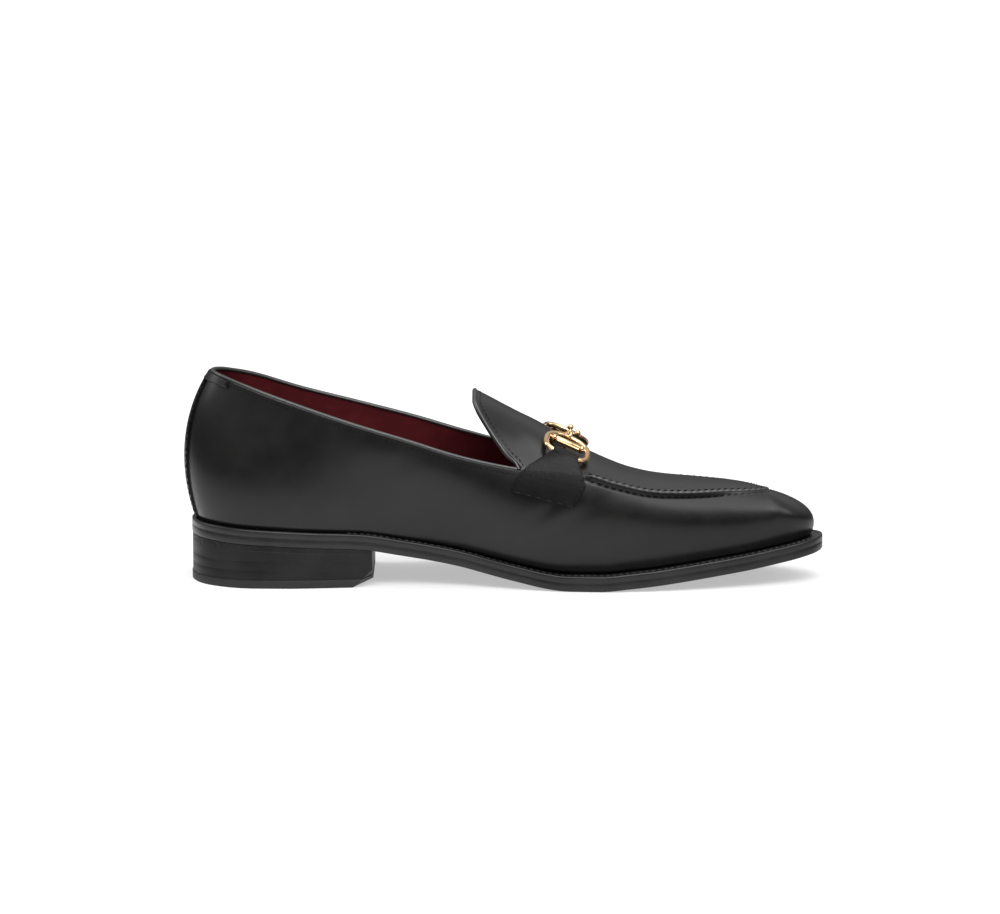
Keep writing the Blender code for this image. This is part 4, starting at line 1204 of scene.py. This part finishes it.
@dataclass
class Trim:
    """Bindings, back strip, seam roll and stitches of the upper."""

    upper: Upper
    collar_trimmed: float = 0.0004
    tongue_trimmed: float = 0.0010
    binding_facets: int = 12
    binding_width: float = 0.0026
    binding_height: float = 0.0015
    binding_over: float = 0.32
    binding_share: float = 0.72
    binding_seam: float = 0.0021
    spacing: float = 0.0016
    stay_width: float = 0.0185
    stay_rows: tuple[float, float, int] = (0.004, 0.95, 34)
    band_width: float = 0.074
    band_rows: tuple[float, float, int] = (0.945, 0.992, 5)
    column: float = 0.0012
    sunk: float = 0.0002
    thickness: float = 0.0009
    rounding: float = 0.0003
    roll_spacing: float = 0.0006
    roll_fade: float = 0.008
    roll_pitch: float = 0.0034
    roll_swell: tuple[float, float] = (0.00048, 0.00026)
    roll_least: float = 0.25
    roll_sunk: float = 0.00035
    roll_shape: float = 1.25
    roll_facets: int = 10
    whip_inset: float = 0.0019
    groove_start: float = 0.003
    groove_level: float = 0.958
    groove_depth: float = 0.00025
    groove_points: int = 400
    fold_stitches: Stitching = Stitching(0.0026, 0.72, 0.00042, 0.00016)
    patch_stitches: Stitching = Stitching(0.0026, 0.72, 0.0004, 0.00014)
    whip_stitches: Stitching = Stitching(0.0034, 0.62, 0.00062, 0.00022)
    groove_thread: Stitching = Stitching(0.0034, 0.80, 0.0008, 0.0)

    def rim(self, line: list[int], trimmed: float) -> tuple[Array, Array, Array]:
        """Centre line of a free edge.

        Args:
            line: Point numbers of the edge.
            trimmed: Length left off at each end.

        Returns:
            Points, outward normals and directions away from the edge.
        """
        path = np.array([self.upper.points[k] for k in line])
        normal = np.array([self.upper.normals[k] for k in line])
        path = path - normal * LAST.wall / 2
        length = running_length(path)
        at = np.arange(trimmed, length[-1] - trimmed, self.spacing)
        path = read_rows(path, length, at)
        normal = unit(read_rows(normal, length, at))
        away = unit(np.cross(normal, unit(np.gradient(path, axis=0))))
        return path, normal, away

    def binding(self, name: str, line: list[int], trimmed: float, node: str) -> None:
        """Makes a folded binding on a free edge, with its row of stitches.

        Args:
            name: Name of the piece.
            line: Point numbers of the edge.
            trimmed: Length left off at each end.
            node: CAD node that it stands for.
        """
        path, normal, away = self.rim(line, trimmed)
        surface = Surface()
        centre = path + away * (self.binding_height * self.binding_over)
        high = self.binding_height * self.binding_share
        wide = self.binding_width / 2
        surface.tube(centre, normal, away, wide, high, self.binding_facets)
        item = surface.piece(name, BINDING)
        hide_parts(node)
        seat = path - away * self.binding_seam + normal * (LAST.wall / 2)
        self.fold_stitches.sew(name + "_stitches", [(seat, normal)], THREAD, Slot.CALF)

    def patch(self, name: str, width: float, rows: Array, node: str) -> None:
        """Makes a strip of leather on the outside of the heel.

        Args:
            name: Name of the piece.
            width: Its width.
            rows: Shares of the way up.
            node: CAD node that it stands for.
        """
        wall = self.upper.wall
        half = width / 2 / self.upper.edge.period
        columns = np.linspace(-half, half, max(int(width / self.column), 8))
        count = len(columns)
        grid = np.array([wall.points(columns, np.full(count, up)) for up in rows])
        normals = np.array([wall.normals(columns, np.full(count, min(up, wall.BELOW_TOP)))
                            for up in rows])
        surface = Surface()
        surface.shell(grid, normals, -self.sunk, self.thickness)
        item = surface.piece(name, CALF, bevel=self.rounding)
        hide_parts(node)
        over = grid + normals * self.thickness
        lines = [(over[:, k], normals[:, k]) for k in (1, count - 2)]
        self.patch_stitches.sew(name + "_stitches", lines, THREAD, Slot.CALF)

    def seam_roll(self) -> None:
        """Makes the raised, puckered roll of the apron seam and its stitches."""
        path, normal = self.upper.seam, self.upper.seam_normals
        length = running_length(path)
        at = np.arange(0.0, length[-1], self.roll_spacing)
        path = read_rows(path, length, at)
        normal = unit(read_rows(normal, length, at))
        ahead = unit(np.gradient(path, axis=0))
        side = unit(np.cross(ahead, normal))
        fade = smooth_step(np.minimum(at, at[-1] - at) / self.roll_fade)
        wave = np.abs(np.sin(math.pi * at / self.roll_pitch))
        least, more = self.roll_swell
        swell = (least + more * wave) * (self.roll_least + (1 - self.roll_least) * fade)
        surface = Surface()
        sunk = path - normal * self.roll_sunk
        surface.tube(sunk, side, normal, swell * self.roll_shape, swell, self.roll_facets)
        surface.piece("apron_roll", BINDING)
        inward = (path[:, 0].mean(), 0.0, 0.0) - path
        seat = path + unit(inward * (1.0, 1.0, 0.0)) * self.whip_inset
        hits = np.array([self.upper.cast(*point[:2]) for point in seat])
        line = (hits[:, 0], hits[:, 1])
        self.whip_stitches.sew("apron_stitches", [line], THREAD, Slot.CALF)

    def whip_row(self) -> None:
        """Makes the heavy thread in the groove under the seam."""
        upper = self.upper
        around, numbers = upper.wall.stations(upper.finer)
        inside = around[numbers[INNER_THROAT]:numbers[OUTER_THROAT] + 1]
        top = upper.wall.points(inside, np.ones(len(inside)))
        inside = inside[top[:, 0] > upper.seam_start + self.groove_start]
        shares = np.linspace(inside[0], inside[-1], self.groove_points)
        level = np.full(len(shares), self.groove_level)
        normal = upper.wall.normals(shares, level)
        path = upper.wall.points(shares, level) - normal * self.groove_depth
        self.groove_thread.sew("apron_whip", [(path, normal)], THREAD, Slot.CALF)

    def build(self) -> None:
        """Makes all of it."""
        self.binding("collar_fold", self.upper.collar, self.collar_trimmed, "collar_binding")
        self.binding("tongue_fold", self.upper.tongue, self.tongue_trimmed, "tongue_binding")
        self.patch("back_strip", self.stay_width, np.linspace(*self.stay_rows), "backstay")
        self.patch("back_tab", self.band_width, np.linspace(*self.band_rows), "heel_band")
        self.seam_roll()
        self.whip_row()


@dataclass
class Bit:
    """Straps and metal bit over the instep, sizes in metres."""

    upper: Upper
    strap_thickness: float = 0.0012
    strap_clearance: float = 0.0012
    tube: float = 0.0023
    length: float = 0.0236
    width: float = 0.0240
    band: float = 0.0029
    station: float = 0.1800
    side_place: float = 0.0208
    far_out: float = 0.0034
    sink: float = 0.0010
    fold_width: float = 0.0124
    fold_reach: float = 0.0050
    fold_thickness: float = 0.0009
    fold_start: float = 152.0
    fold_turn: float = 252.0
    roller_length: float = 0.0128
    roller: float = 0.0034
    roller_up: float = 0.0032
    bead: float = 0.0042
    wire: float = 0.0014
    arm: float = 0.0022
    eye: float = 0.0024
    eye_offset: float = 0.0014
    link_rise: float = 0.0046
    link_ahead: float = 0.0030
    knob: float = 0.0030
    knob_share: float = 0.35
    pole: float = 0.05
    ball_rings: int = 11
    probe: tuple[float, float] = (0.008, 0.007)
    under_share: float = 0.35
    strap_cells: tuple[int, int] = (25, 31)
    fold_gap: float = 0.00015
    rounding: float = 0.0003
    seam_rows: tuple[int, int] = (2, 13)
    relax_passes: int = 6
    ring_points: int = 72
    ring_powers: tuple[float, float] = (2.3, 3.4)
    ring_height: float = 0.54
    pin_start: float = 0.02
    pin_share: float = 0.42
    roller_facets: int = 20
    ribs: int = 30
    rib_facets: int = 14
    rib_radii: tuple[float, float] = (0.00096, 0.00115)
    rib_tip: float = 0.0004
    rib_drop: float = 0.0011
    rib_out: float = 0.0003
    rib_share: float = 0.47
    eye_points: int = 32
    facets: int = 16
    stitches: Stitching = Stitching(0.0024, 0.66, 0.00046, 0.00003)

    def frame(self, side: int) -> Frame:
        """Centre and directions of one side's ring.

        Args:
            side: -1 or 1.

        Returns:
            Centre, ahead, up the instep, and outwards.
        """
        at, cast = self.station, self.upper.cast
        place = self.side_place + (self.far_out if side > 0 else 0.0)
        reach, rise = self.probe
        around = ((0, 0), (-reach, 0), (reach, 0), (0, -rise), (0, rise))
        over, back, front, high, low = (cast(at + x, side * (place + y))[0] for x, y in around)
        ahead = unit(front - back)
        climb = unit((high - low) - ahead * np.dot(high - low, ahead))
        out = unit(np.cross(ahead, climb))
        out = out if out[2] > 0 else -out
        lift = self.strap_clearance + self.strap_thickness + LAST.gap + self.tube / 2 - self.sink
        return over + out * lift, ahead, climb, out

    def strap(self, side: Side) -> None:
        """Makes one strap tab, folded round the ring, with its stitches.

        Args:
            side: Side of the foot.
        """
        centre, ahead, climb, out = self.frame(side.value)
        bar = centre - climb * (self.width - self.tube) / 2
        across, down = self.strap_cells
        columns = np.linspace(0.0, 1.0, across)
        table = np.array(STRAP_ROWS)
        fine = np.linspace(0, len(table) - 1, down)
        hits = []
        for left, left_turn, right, right_turn in read_rows(table, np.arange(len(table)), fine):
            along = (left + (right - left) * columns) * LAST.sole_length
            turn = left_turn + (right_turn - left_turn) * columns
            hits.append([self.upper.drape(a, t, side.value) for a, t in zip(along, turn)])
        base, normal = np.moveaxis(np.array(hits), 2, 0)
        kept = int(np.sum(((base - bar) @ climb).mean(axis=1) < -self.fold_reach))
        base, normal = base[:kept], self.relaxed(normal[:kept])
        under = list(base + normal * self.strap_clearance * self.under_share)
        over = list(base + normal * (self.strap_clearance + self.strap_thickness))
        spans = np.linspace(-self.fold_width / 2, self.fold_width / 2, len(columns))
        row = bar + ahead * spans[:, None]
        inner = self.band / 2 + self.fold_gap
        for share in np.linspace(0.0, 1.0, across):
            turn = math.radians(self.fold_start - self.fold_turn * share)
            spoke = climb * math.cos(turn) + out * math.sin(turn)
            under.append(row + spoke * inner)
            over.append(row + spoke * (inner + self.fold_thickness))
        low, high = np.array(under), np.array(over)
        surface = Surface()
        surface.shell(low, high - low, 0.0, 1.0)
        name = side.name.lower()
        item = surface.piece("strap_leather_" + name, STRAP, bevel=self.rounding)
        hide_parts("strap_" + name)
        tab = high[:kept]
        lines = [(tab[k, 1:-1], normal[k, 1:-1]) for k in self.seam_rows]
        lines += [(tab[2:-2, k], normal[2:-2, k]) for k in (1, across - 2)]
        self.stitches.sew("strap_stitches_" + name, lines, THREAD, Slot.STRAP)

    def relaxed(self, normals: Array) -> Array:
        """Evens out a grid of normals.

        Args:
            normals: Rows and columns of unit vectors.

        Returns:
            The smoothed unit vectors.
        """
        for _ in range(self.relax_passes):
            padded = np.pad(normals, ((1, 1), (1, 1), (0, 0)), mode="edge")
            normals = unit(padded[:-2, 1:-1] + padded[2:, 1:-1] + padded[1:-1, :-2]
                           + padded[1:-1, 2:] + padded[1:-1, 1:-1])
        return normals

    def ring_path(self, frame: Frame) -> Array:
        """Centre line of a ring.

        Args:
            frame: Centre and directions.

        Returns:
            The points.
        """
        centre, ahead, climb, _ = frame
        top, foot = self.ring_powers
        turn = 2 * math.pi * np.arange(self.ring_points)[:, None] / self.ring_points
        cos, sin = np.cos(turn), np.sin(turn)
        power = np.where(sin > 0, top, foot)
        reach = (np.abs(cos) ** power + np.abs(sin) ** power) ** (-1 / power) / 2
        return (centre + ahead * cos * reach * (self.length - self.tube)
                + climb * sin * reach * (self.width - self.tube))

    def loop(self, surface: Surface, path: Array, flat: Array, radius: float, high: float) -> None:
        """Adds a closed round wire.

        Args:
            surface: Piece that takes it.
            path: Its centre line.
            flat: Normal of its plane.
            radius: Half width of the wire in its plane.
            high: Half height of the wire out of its plane.
        """
        ahead = unit(np.roll(path, -1, axis=0) - np.roll(path, 1, axis=0))
        side = unit(np.cross(ahead, flat))
        up = np.tile(flat, (len(path), 1))
        surface.tube(path, side, up, radius, high, self.facets, closed=True)

    def ring(self, side: Side) -> None:
        """Makes a ring with its roller and the ribbed bar beside it.

        Args:
            side: Side of the foot.
        """
        frame = self.frame(side.value)
        centre, ahead, climb, out = frame
        surface = Surface()
        path = self.ring_path(frame)
        self.loop(surface, path, out, self.band / 2, self.tube * self.ring_height)
        half = (self.length - self.tube) / 2
        reach = self.roller_length / 2 / half / 2
        radii = {"pin": self.tube * self.pin_share, "bead": self.bead / 2,
                 "roller": self.roller / 2}
        rows = [(self.pin_start, radii["pin"])]
        rows += [(place - reach, radii[kind] * share) for kind, place, share in ROLLER_ROWS]
        rows += [(1 - place, radius) for place, radius in reversed(rows)]
        centre = centre + climb * self.roller_up
        surface.turned(centre - ahead * half, centre + ahead * half, rows, self.roller_facets)
        ribs = [(k / self.ribs, self.rib_radii[k % 2]) for k in range(1, self.ribs)]
        ribs = [(0.0, self.rib_tip), *ribs, (1.0, self.rib_tip)]
        low = centre - climb * (self.roller / 2 + self.rib_drop) + out * self.rib_out
        reach = self.roller_length * self.rib_share
        surface.turned(low - ahead * reach, low + ahead * reach, ribs, self.rib_facets)
        name = side.name.lower()
        item = surface.piece("ring_gold_" + name, GOLD, smooth=50)
        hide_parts("ring_" + name)

    def link(self, side: Side, middle: Array) -> None:
        """Makes half of the mouthpiece.

        Args:
            side: Side of the foot.
            middle: Where the two halves meet.
        """
        centre, _, climb, out = self.frame(side.value)
        bar = centre + climb * (self.width - self.tube) / 2
        wire = self.wire / 2
        small = self.tube / 2 + LAST.gap * 2 + wire
        across = np.array([0.0, float(side.value), 0.0])
        plane = np.array([0.0, 0.0, 1.0] if side is Side.INNER else [1.0, 0.0, 0.0])
        eye_at = middle + across * self.eye_offset
        surface = Surface()
        for at, one, two, radius in ((bar + out * LAST.gap, climb, out, small),
                                     (eye_at, across, plane, self.eye)):
            turns = np.linspace(0, 2 * math.pi, self.eye_points, endpoint=False)[:, None]
            path = at + (one * np.cos(turns) + two * np.sin(turns)) * radius
            self.loop(surface, path, unit(np.cross(one, two)), wire, wire)
        begin = bar + unit(eye_at - bar) * small
        thick = self.arm / 2
        rows = [(place, wire * thin + thick * full) for place, thin, full in ARM_ROWS]
        rows += [(1 - place, radius) for place, radius in reversed(rows[:-1])]
        surface.turned(begin, eye_at + across * self.eye, rows, self.facets)
        knob_at = eye_at + plane * (self.eye + self.knob * self.knob_share)
        ball = [((1 - math.cos(t)) / 2, self.knob / 2 * max(math.sin(t), self.pole))
                for t in np.linspace(self.pole, math.pi - self.pole, self.ball_rings)]
        reach = plane * self.knob / 2
        surface.turned(knob_at - reach, knob_at + reach, ball, self.facets)
        name = side.name.lower()
        item = surface.piece("link_gold_" + name, GOLD, smooth=50)
        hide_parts("link_" + name)

    def build(self) -> None:
        """Makes straps, rings and mouthpiece."""
        top = self.upper.cast(self.station + self.link_ahead, 0.0)[0]
        middle = top + np.array([0.0, 0.0, self.link_rise])
        for side in Side:
            self.strap(side)
            self.ring(side)
            self.link(side, middle)


@dataclass
class Sole:
    """Outsole with its welt, sock, stacked heel and the welt's stitches, sizes in metres."""

    edge: SoleEdge
    inset: float = 0.0021
    rounding: float = 0.0008
    groove: float = 0.00010
    lip: float = 0.03
    rubber: float = 0.0040
    lift: float = 0.0043
    lift_step: float = 0.0003
    rubber_rounding: float = 0.00040
    lift_rounding: float = 0.00010
    corner_length: float = 0.0095
    corner_width: float = 0.0240
    corner_height: float = 0.0080
    pairs: int = 240
    bed: float = 0.0105
    core: float = 0.0107
    underside: float = 0.0125
    sock_gap: float = 0.0002
    sock_thickness: float = 0.0005
    seam_end: float = 0.002
    seam_points: int = 700
    heel_points: tuple[int, int, int] = (90, 20, 12)
    stitches: Stitching = Stitching(0.0031, 0.70, 0.00075, 0.00022)

    def tread(self, along: Array) -> Array:
        """Gives the height of the outsole's underside at lengths along it."""
        return self.edge.welt_top(along) - LAST.outsole - LAST.gap - LAST.welt

    def way(self) -> Array:
        """Shares of the way round whose inner and outer points pair up across the sole.

        Returns:
            The shares, from the back along the inner side and back along the outer side.
        """
        turn = np.linspace(0.0, math.pi, self.pairs + 1)[1:-1]
        along = LAST.sole_length * (1 - np.cos(turn)) / 2
        inner = [self.edge.way_round(x, -1) for x in along]
        outer = [self.edge.way_round(x, 1) for x in along]
        tip = (inner[-1] + outer[-1]) / 2
        return np.array([0.0] + inner + [tip] + outer[::-1])

    @staticmethod
    def filled(surface: Surface, first: int, count: int, upward: bool) -> None:
        """Fills a ring of points with rungs across the shoe.

        Args:
            surface: Piece that holds the ring.
            first: Number of the ring's first point.
            count: Points in the ring.
            upward: Whether the filling faces up.
        """
        for k in range(count // 2):
            quad = (k, k + 1, (count - k - 1) % count, (count - k) % count)
            corners = tuple(dict.fromkeys(first + n for n in quad))
            surface.faces.append(corners if upward else tuple(reversed(corners)))

    def edge_strip(self) -> None:
        """Makes outsole and welt as one closed piece, with a fine joint round its painted edge."""
        shares = self.way()
        count = len(shares)
        thick = LAST.outsole + LAST.gap + LAST.welt
        joint = LAST.outsole / thick
        corner = [(self.rounding * inwards, share) for inwards, share in CORNER_ROWS]
        outline = [(self.underside, 0.0)] + corner
        outline += [(0.0, joint - self.lip), (self.groove, joint), (0.0, joint + self.lip)]
        outline += [(inset, 1 - share) for inset, share in reversed(corner)]
        outline += [(self.bed, 1.0), (self.core, joint)]
        rings = []
        for inset, share in outline:
            line, _ = self.edge.points(shares, inset)
            height = self.tread(line[:, 0]) + thick * share
            rings.append(np.column_stack([line, height]))
        surface = Surface()
        surface.grid(rings, closed=True)
        self.filled(surface, 0, count, False)
        self.filled(surface, (len(rings) - 1) * count, count, True)
        item = surface.piece("outsole_with_welt", EDGE, smooth=60)
        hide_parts("outsole", "welt", "seat_rand")

    def sock(self, wall: Wall) -> None:
        """Makes the lining sock that covers the insole up to the inside of the wall.

        Args:
            wall: The upper's outer face.
        """
        shares = self.way()
        count = len(shares)
        foot, top = wall.points(shares, np.zeros(count)), wall.points(shares, np.ones(count))
        rings = []
        for rise, inward in SOCK_ROWS:
            up = rise / (top[:, 2] - foot[:, 2])
            inset = LAST.wall - self.sock_gap + inward
            ring = wall.points(shares, up) - wall.normals(shares, up) * inset
            ring[:, 2] = foot[:, 2] + rise
            rings.append(ring)
        surface = Surface()
        surface.grid(rings, closed=True)
        self.filled(surface, (len(rings) - 1) * count, count, True)
        item = surface.piece("sock_lining", LINING)
        leather = item.modifiers.new("leather", "SOLIDIFY")
        leather.thickness = self.sock_thickness
        leather.offset = -1.0

    def outline(self, inset: float, level: float) -> Array:
        """One ring round the heel, with the slanting corner cut off near the floor.

        Args:
            inset: How far inside the sole's edge.
            level: Height of the ring, for the corner's cut.

        Returns:
            The points.
        """
        front = LAST.heel_length - self.lift_step
        cut = max(1 - level / self.corner_height, 0.0)
        start = self.edge.way_round(front - self.corner_length * cut, -1)
        stop = self.edge.way_round(front, 1)
        round_it, across_it, down_it = self.heel_points
        shares = np.r_[np.linspace(stop, 1.0, round_it, endpoint=False),
                       np.linspace(0.0, start, round_it)]
        line, _ = self.edge.points(shares, inset)
        side, _ = self.edge.points([self.edge.way_round(front, -1)], inset)
        corner = np.array([front, side[0, 1] + self.corner_width * cut])
        across = np.linspace(0.0, 1.0, across_it)[1:-1, None]
        breast = corner + (line[0] * (0, 1) + (front, 0) - corner) * across
        slant = line[-1] + (corner - line[-1]) * np.linspace(0.0, 1.0, down_it)[1:, None]
        line = np.vstack([line, slant, breast])
        return np.column_stack([line, np.full(len(line), level)])

    def heel_piece(self, name: str, node: str, low: float, high: Callable[[Array], Array],
                   inset: float, finish: Finish, slot: Slot) -> None:
        """Makes one piece of the heel between two heights.

        Args:
            name: Name of the piece.
            node: CAD node that it stands for.
            low: Height of its underside.
            high: Height of its top at lengths along the shoe.
            inset: How far inside the sole's edge.
            finish: Its finish.
            slot: Material slot of the record.
        """
        rings = []
        soft = self.rubber_rounding if slot is Slot.TOP_PIECE else self.lift_rounding
        for share, rounded, shrink in LIFT_ROWS:
            level = low + self.lift * share
            ring = self.outline(inset + soft * rounded + shrink, level)
            ring[:, 2] = low + (high(ring[:, 0]) - low) * share
            rings.append(ring)
        surface = Surface()
        surface.grid(rings, closed=True, capped=True)
        item = surface.piece(name, finish, smooth=50)
        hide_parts(node)

    def heel(self) -> None:
        """Makes the stacked heel."""
        def flat(level: float) -> Callable[[Array], Array]:
            """Gives a flat top at a level."""
            return lambda along: np.full(len(along), level)

        self.heel_piece("heel_rubber", "top_piece", 0.0, flat(self.rubber), 0.0, RUBBER,
                        Slot.TOP_PIECE)
        low = self.rubber
        for number in (3, 2):
            top = low + self.lift + LAST.gap
            self.heel_piece(f"stack_{number}", f"heel_lift_{number}", low, flat(top),
                            self.lift_step, HEEL, Slot.HEEL)
            low = top
        self.heel_piece("stack_1", "heel_lift_1", low, self.tread, self.lift_step, HEEL, Slot.HEEL)

    def build(self, nodes: dict[str, bpy.types.Object], wall: Wall) -> None:
        """Finishes the insole, makes sole, sock and heel, and sews the welt.

        Args:
            nodes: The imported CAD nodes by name.
            wall: The upper's outer face.
        """
        insole = nodes["insole"]
        if not insole.material_slots:
            insole.data.materials.append(LINING.material())
        for holder in insole.material_slots:
            holder.material = LINING.material()
        LOG.info("insole: finished")
        self.edge_strip()
        self.sock(wall)
        self.heel()
        start = self.edge.way_round(LAST.welt_joint, -1)
        end = self.edge.way_round(LAST.welt_joint, 1)
        shares = np.linspace(start + self.seam_end, end - self.seam_end, self.seam_points)
        line, _ = self.edge.points(shares, self.inset)
        path = np.column_stack([line, self.edge.welt_top(line[:, 0])])
        ahead = unit(np.gradient(path, axis=0))
        side = np.cross(ahead, (0.0, 0.0, 1.0))
        line = (path, unit(np.cross(side, ahead)))
        # The welt's stitches use the lighter grey thread, whose colour is partly a painted
        # highlight
        self.stitches.sew("welt_stitches", [line], WELT_THREAD_WITH_PAINTED_HIGHLIGHT, Slot.EDGE)


def aimed(place: Vector, target: Vector) -> Euler:
    """Gives the turn of a lamp or camera that looks from a place at a target."""
    return (target - place).to_track_quat("-Z", "Y").to_euler()


@dataclass(frozen=True)
class Lamp:
    """A soft lamp: place, size, power and what it points at, in metres and watts."""

    name: str
    place: tuple[float, float, float]
    size: tuple[float, float]
    power: float
    target: tuple[float, float, float] = (0.10, 0.0, 0.04)

    def build(self) -> None:
        """Adds the lamp to the scene."""
        data = bpy.data.lights.new(self.name, "AREA")
        data.shape = "RECTANGLE"
        data.size, data.size_y = self.size
        data.energy = self.power
        item = bpy.data.objects.new(self.name, data)
        item.location = self.place
        item.rotation_euler = aimed(Vector(self.place), Vector(self.target))
        bpy.context.scene.collection.objects.link(item)


@dataclass
class Studio:
    """Floor, soft lamps and the camera at the photograph's angle."""

    target: tuple[float, float, float] = (0.105, 0.0, 0.0585)
    elevation: float = 9.8
    distance: float = 2.5
    lens: float = 186.3
    sky: float = 0.62
    low_sky: float = 0.10
    horizon: tuple[float, float] = (0.10, 0.55)
    floor_glow: float = 0.46
    floor_tone: float = 0.52
    pool: tuple[float, float] = (0.12, 0.62)
    dim: float = 0.05
    sensor: float = 36.0
    reach: float = 14.0
    floor_rough: float = 0.9
    sun: float = 1.85
    sun_size: float = 65.0
    sun_turn: tuple[float, float, float] = (0.42, 0.10, 0.0)
    lamps: tuple[Lamp, ...] = (
        Lamp("key", (0.25, -0.9, 1.15), (0.9, 0.30), 6.0),
        Lamp("top", (0.05, 0.25, 1.3), (1.2, 0.5), 4.0),
        Lamp("back_fill", (-0.9, 0.3, 0.8), (0.4, 0.6), 2.5),
        Lamp("front_fill", (1.0, -0.35, 0.6), (0.4, 0.5), 1.5),
    )

    def floor(self) -> None:
        """Makes the pale floor, which mirrors light to the shoe only near it."""
        mesh = bpy.data.meshes.new("floor")
        signs = ((-1, -1), (1, -1), (1, 1), (-1, 1))
        corners = [(x * self.reach, y * self.reach, 0) for x, y in signs]
        mesh.from_pydata(corners, [], [(0, 1, 2, 3)])
        floor = bpy.data.objects.new("floor", mesh)
        material = bpy.data.materials.new("pale_floor")
        material.use_nodes = True
        shader = material.node_tree.nodes["Principled BSDF"]
        graph = Graph(material.node_tree)
        distance = graph.add("VectorMath", operation="LENGTH")
        graph.link(graph.add("TexCoord").outputs["Object"], distance.inputs[0])
        near = graph.ramp(distance.outputs["Value"], *self.pool, 1.0, self.dim)
        seen = graph.math("MAXIMUM", near, graph.add("LightPath").outputs["Is Camera Ray"])
        colour = graph.add("CombineXYZ")
        for channel in colour.inputs:
            graph.link(graph.math("MULTIPLY", seen, self.floor_tone), channel)
        graph.link(colour.outputs[0], shader.inputs["Base Color"])
        shader.inputs["Emission Color"].default_value = WHITE
        glow = graph.math("MULTIPLY", seen, self.floor_glow)
        graph.link(glow, shader.inputs["Emission Strength"])
        shader.inputs["Roughness"].default_value = self.floor_rough
        mesh.materials.append(material)
        bpy.context.scene.collection.objects.link(floor)

    def world(self) -> None:
        """Makes the sky, dimmer towards the horizon."""
        world = bpy.data.worlds.new("studio")
        world.use_nodes = True
        graph = Graph(world.node_tree)
        parts = graph.add("SeparateXYZ")
        graph.link(graph.add("TexCoord").outputs["Generated"], parts.inputs[0])
        background = world.node_tree.nodes["Background"]
        background.inputs["Color"].default_value = WHITE
        rise = graph.ramp(parts.outputs["Z"], *self.horizon, self.low_sky, self.sky)
        graph.link(rise, background.inputs["Strength"])
        bpy.context.scene.world = world

    def camera(self) -> None:
        """Makes the camera."""
        data = bpy.data.cameras.new("camera")
        data.sensor_width = self.sensor
        data.lens = self.lens
        camera = bpy.data.objects.new("camera", data)
        turn = math.radians(self.elevation)
        target = Vector(self.target)
        camera.location = target + Vector((0.0, -math.cos(turn), math.sin(turn))) * self.distance
        camera.rotation_euler = aimed(camera.location, target)
        bpy.context.scene.collection.objects.link(camera)
        bpy.context.scene.camera = camera

    def build(self) -> None:
        """Sets the stage."""
        self.floor()
        self.world()
        bpy.context.scene.view_settings.view_transform = "Standard"
        for lamp in self.lamps:
            lamp.build()
        sun = bpy.data.lights.new("overhead", "SUN")
        sun.energy = self.sun
        sun.angle = math.radians(self.sun_size)
        overhead = bpy.data.objects.new("overhead", sun)
        overhead.rotation_euler = self.sun_turn
        bpy.context.scene.collection.objects.link(overhead)
        self.camera()


def main() -> None:
    """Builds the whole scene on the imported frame."""
    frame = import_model()
    edge = SoleEdge()
    upper = Upper(edge, Wall(edge))
    upper.build()
    Trim(upper).build()
    Bit(upper).build()
    Sole(edge).build(frame["nodes"], upper.wall)
    Studio().build()


if __name__ == "__main__":
    logging.basicConfig(level=logging.INFO)
    main()
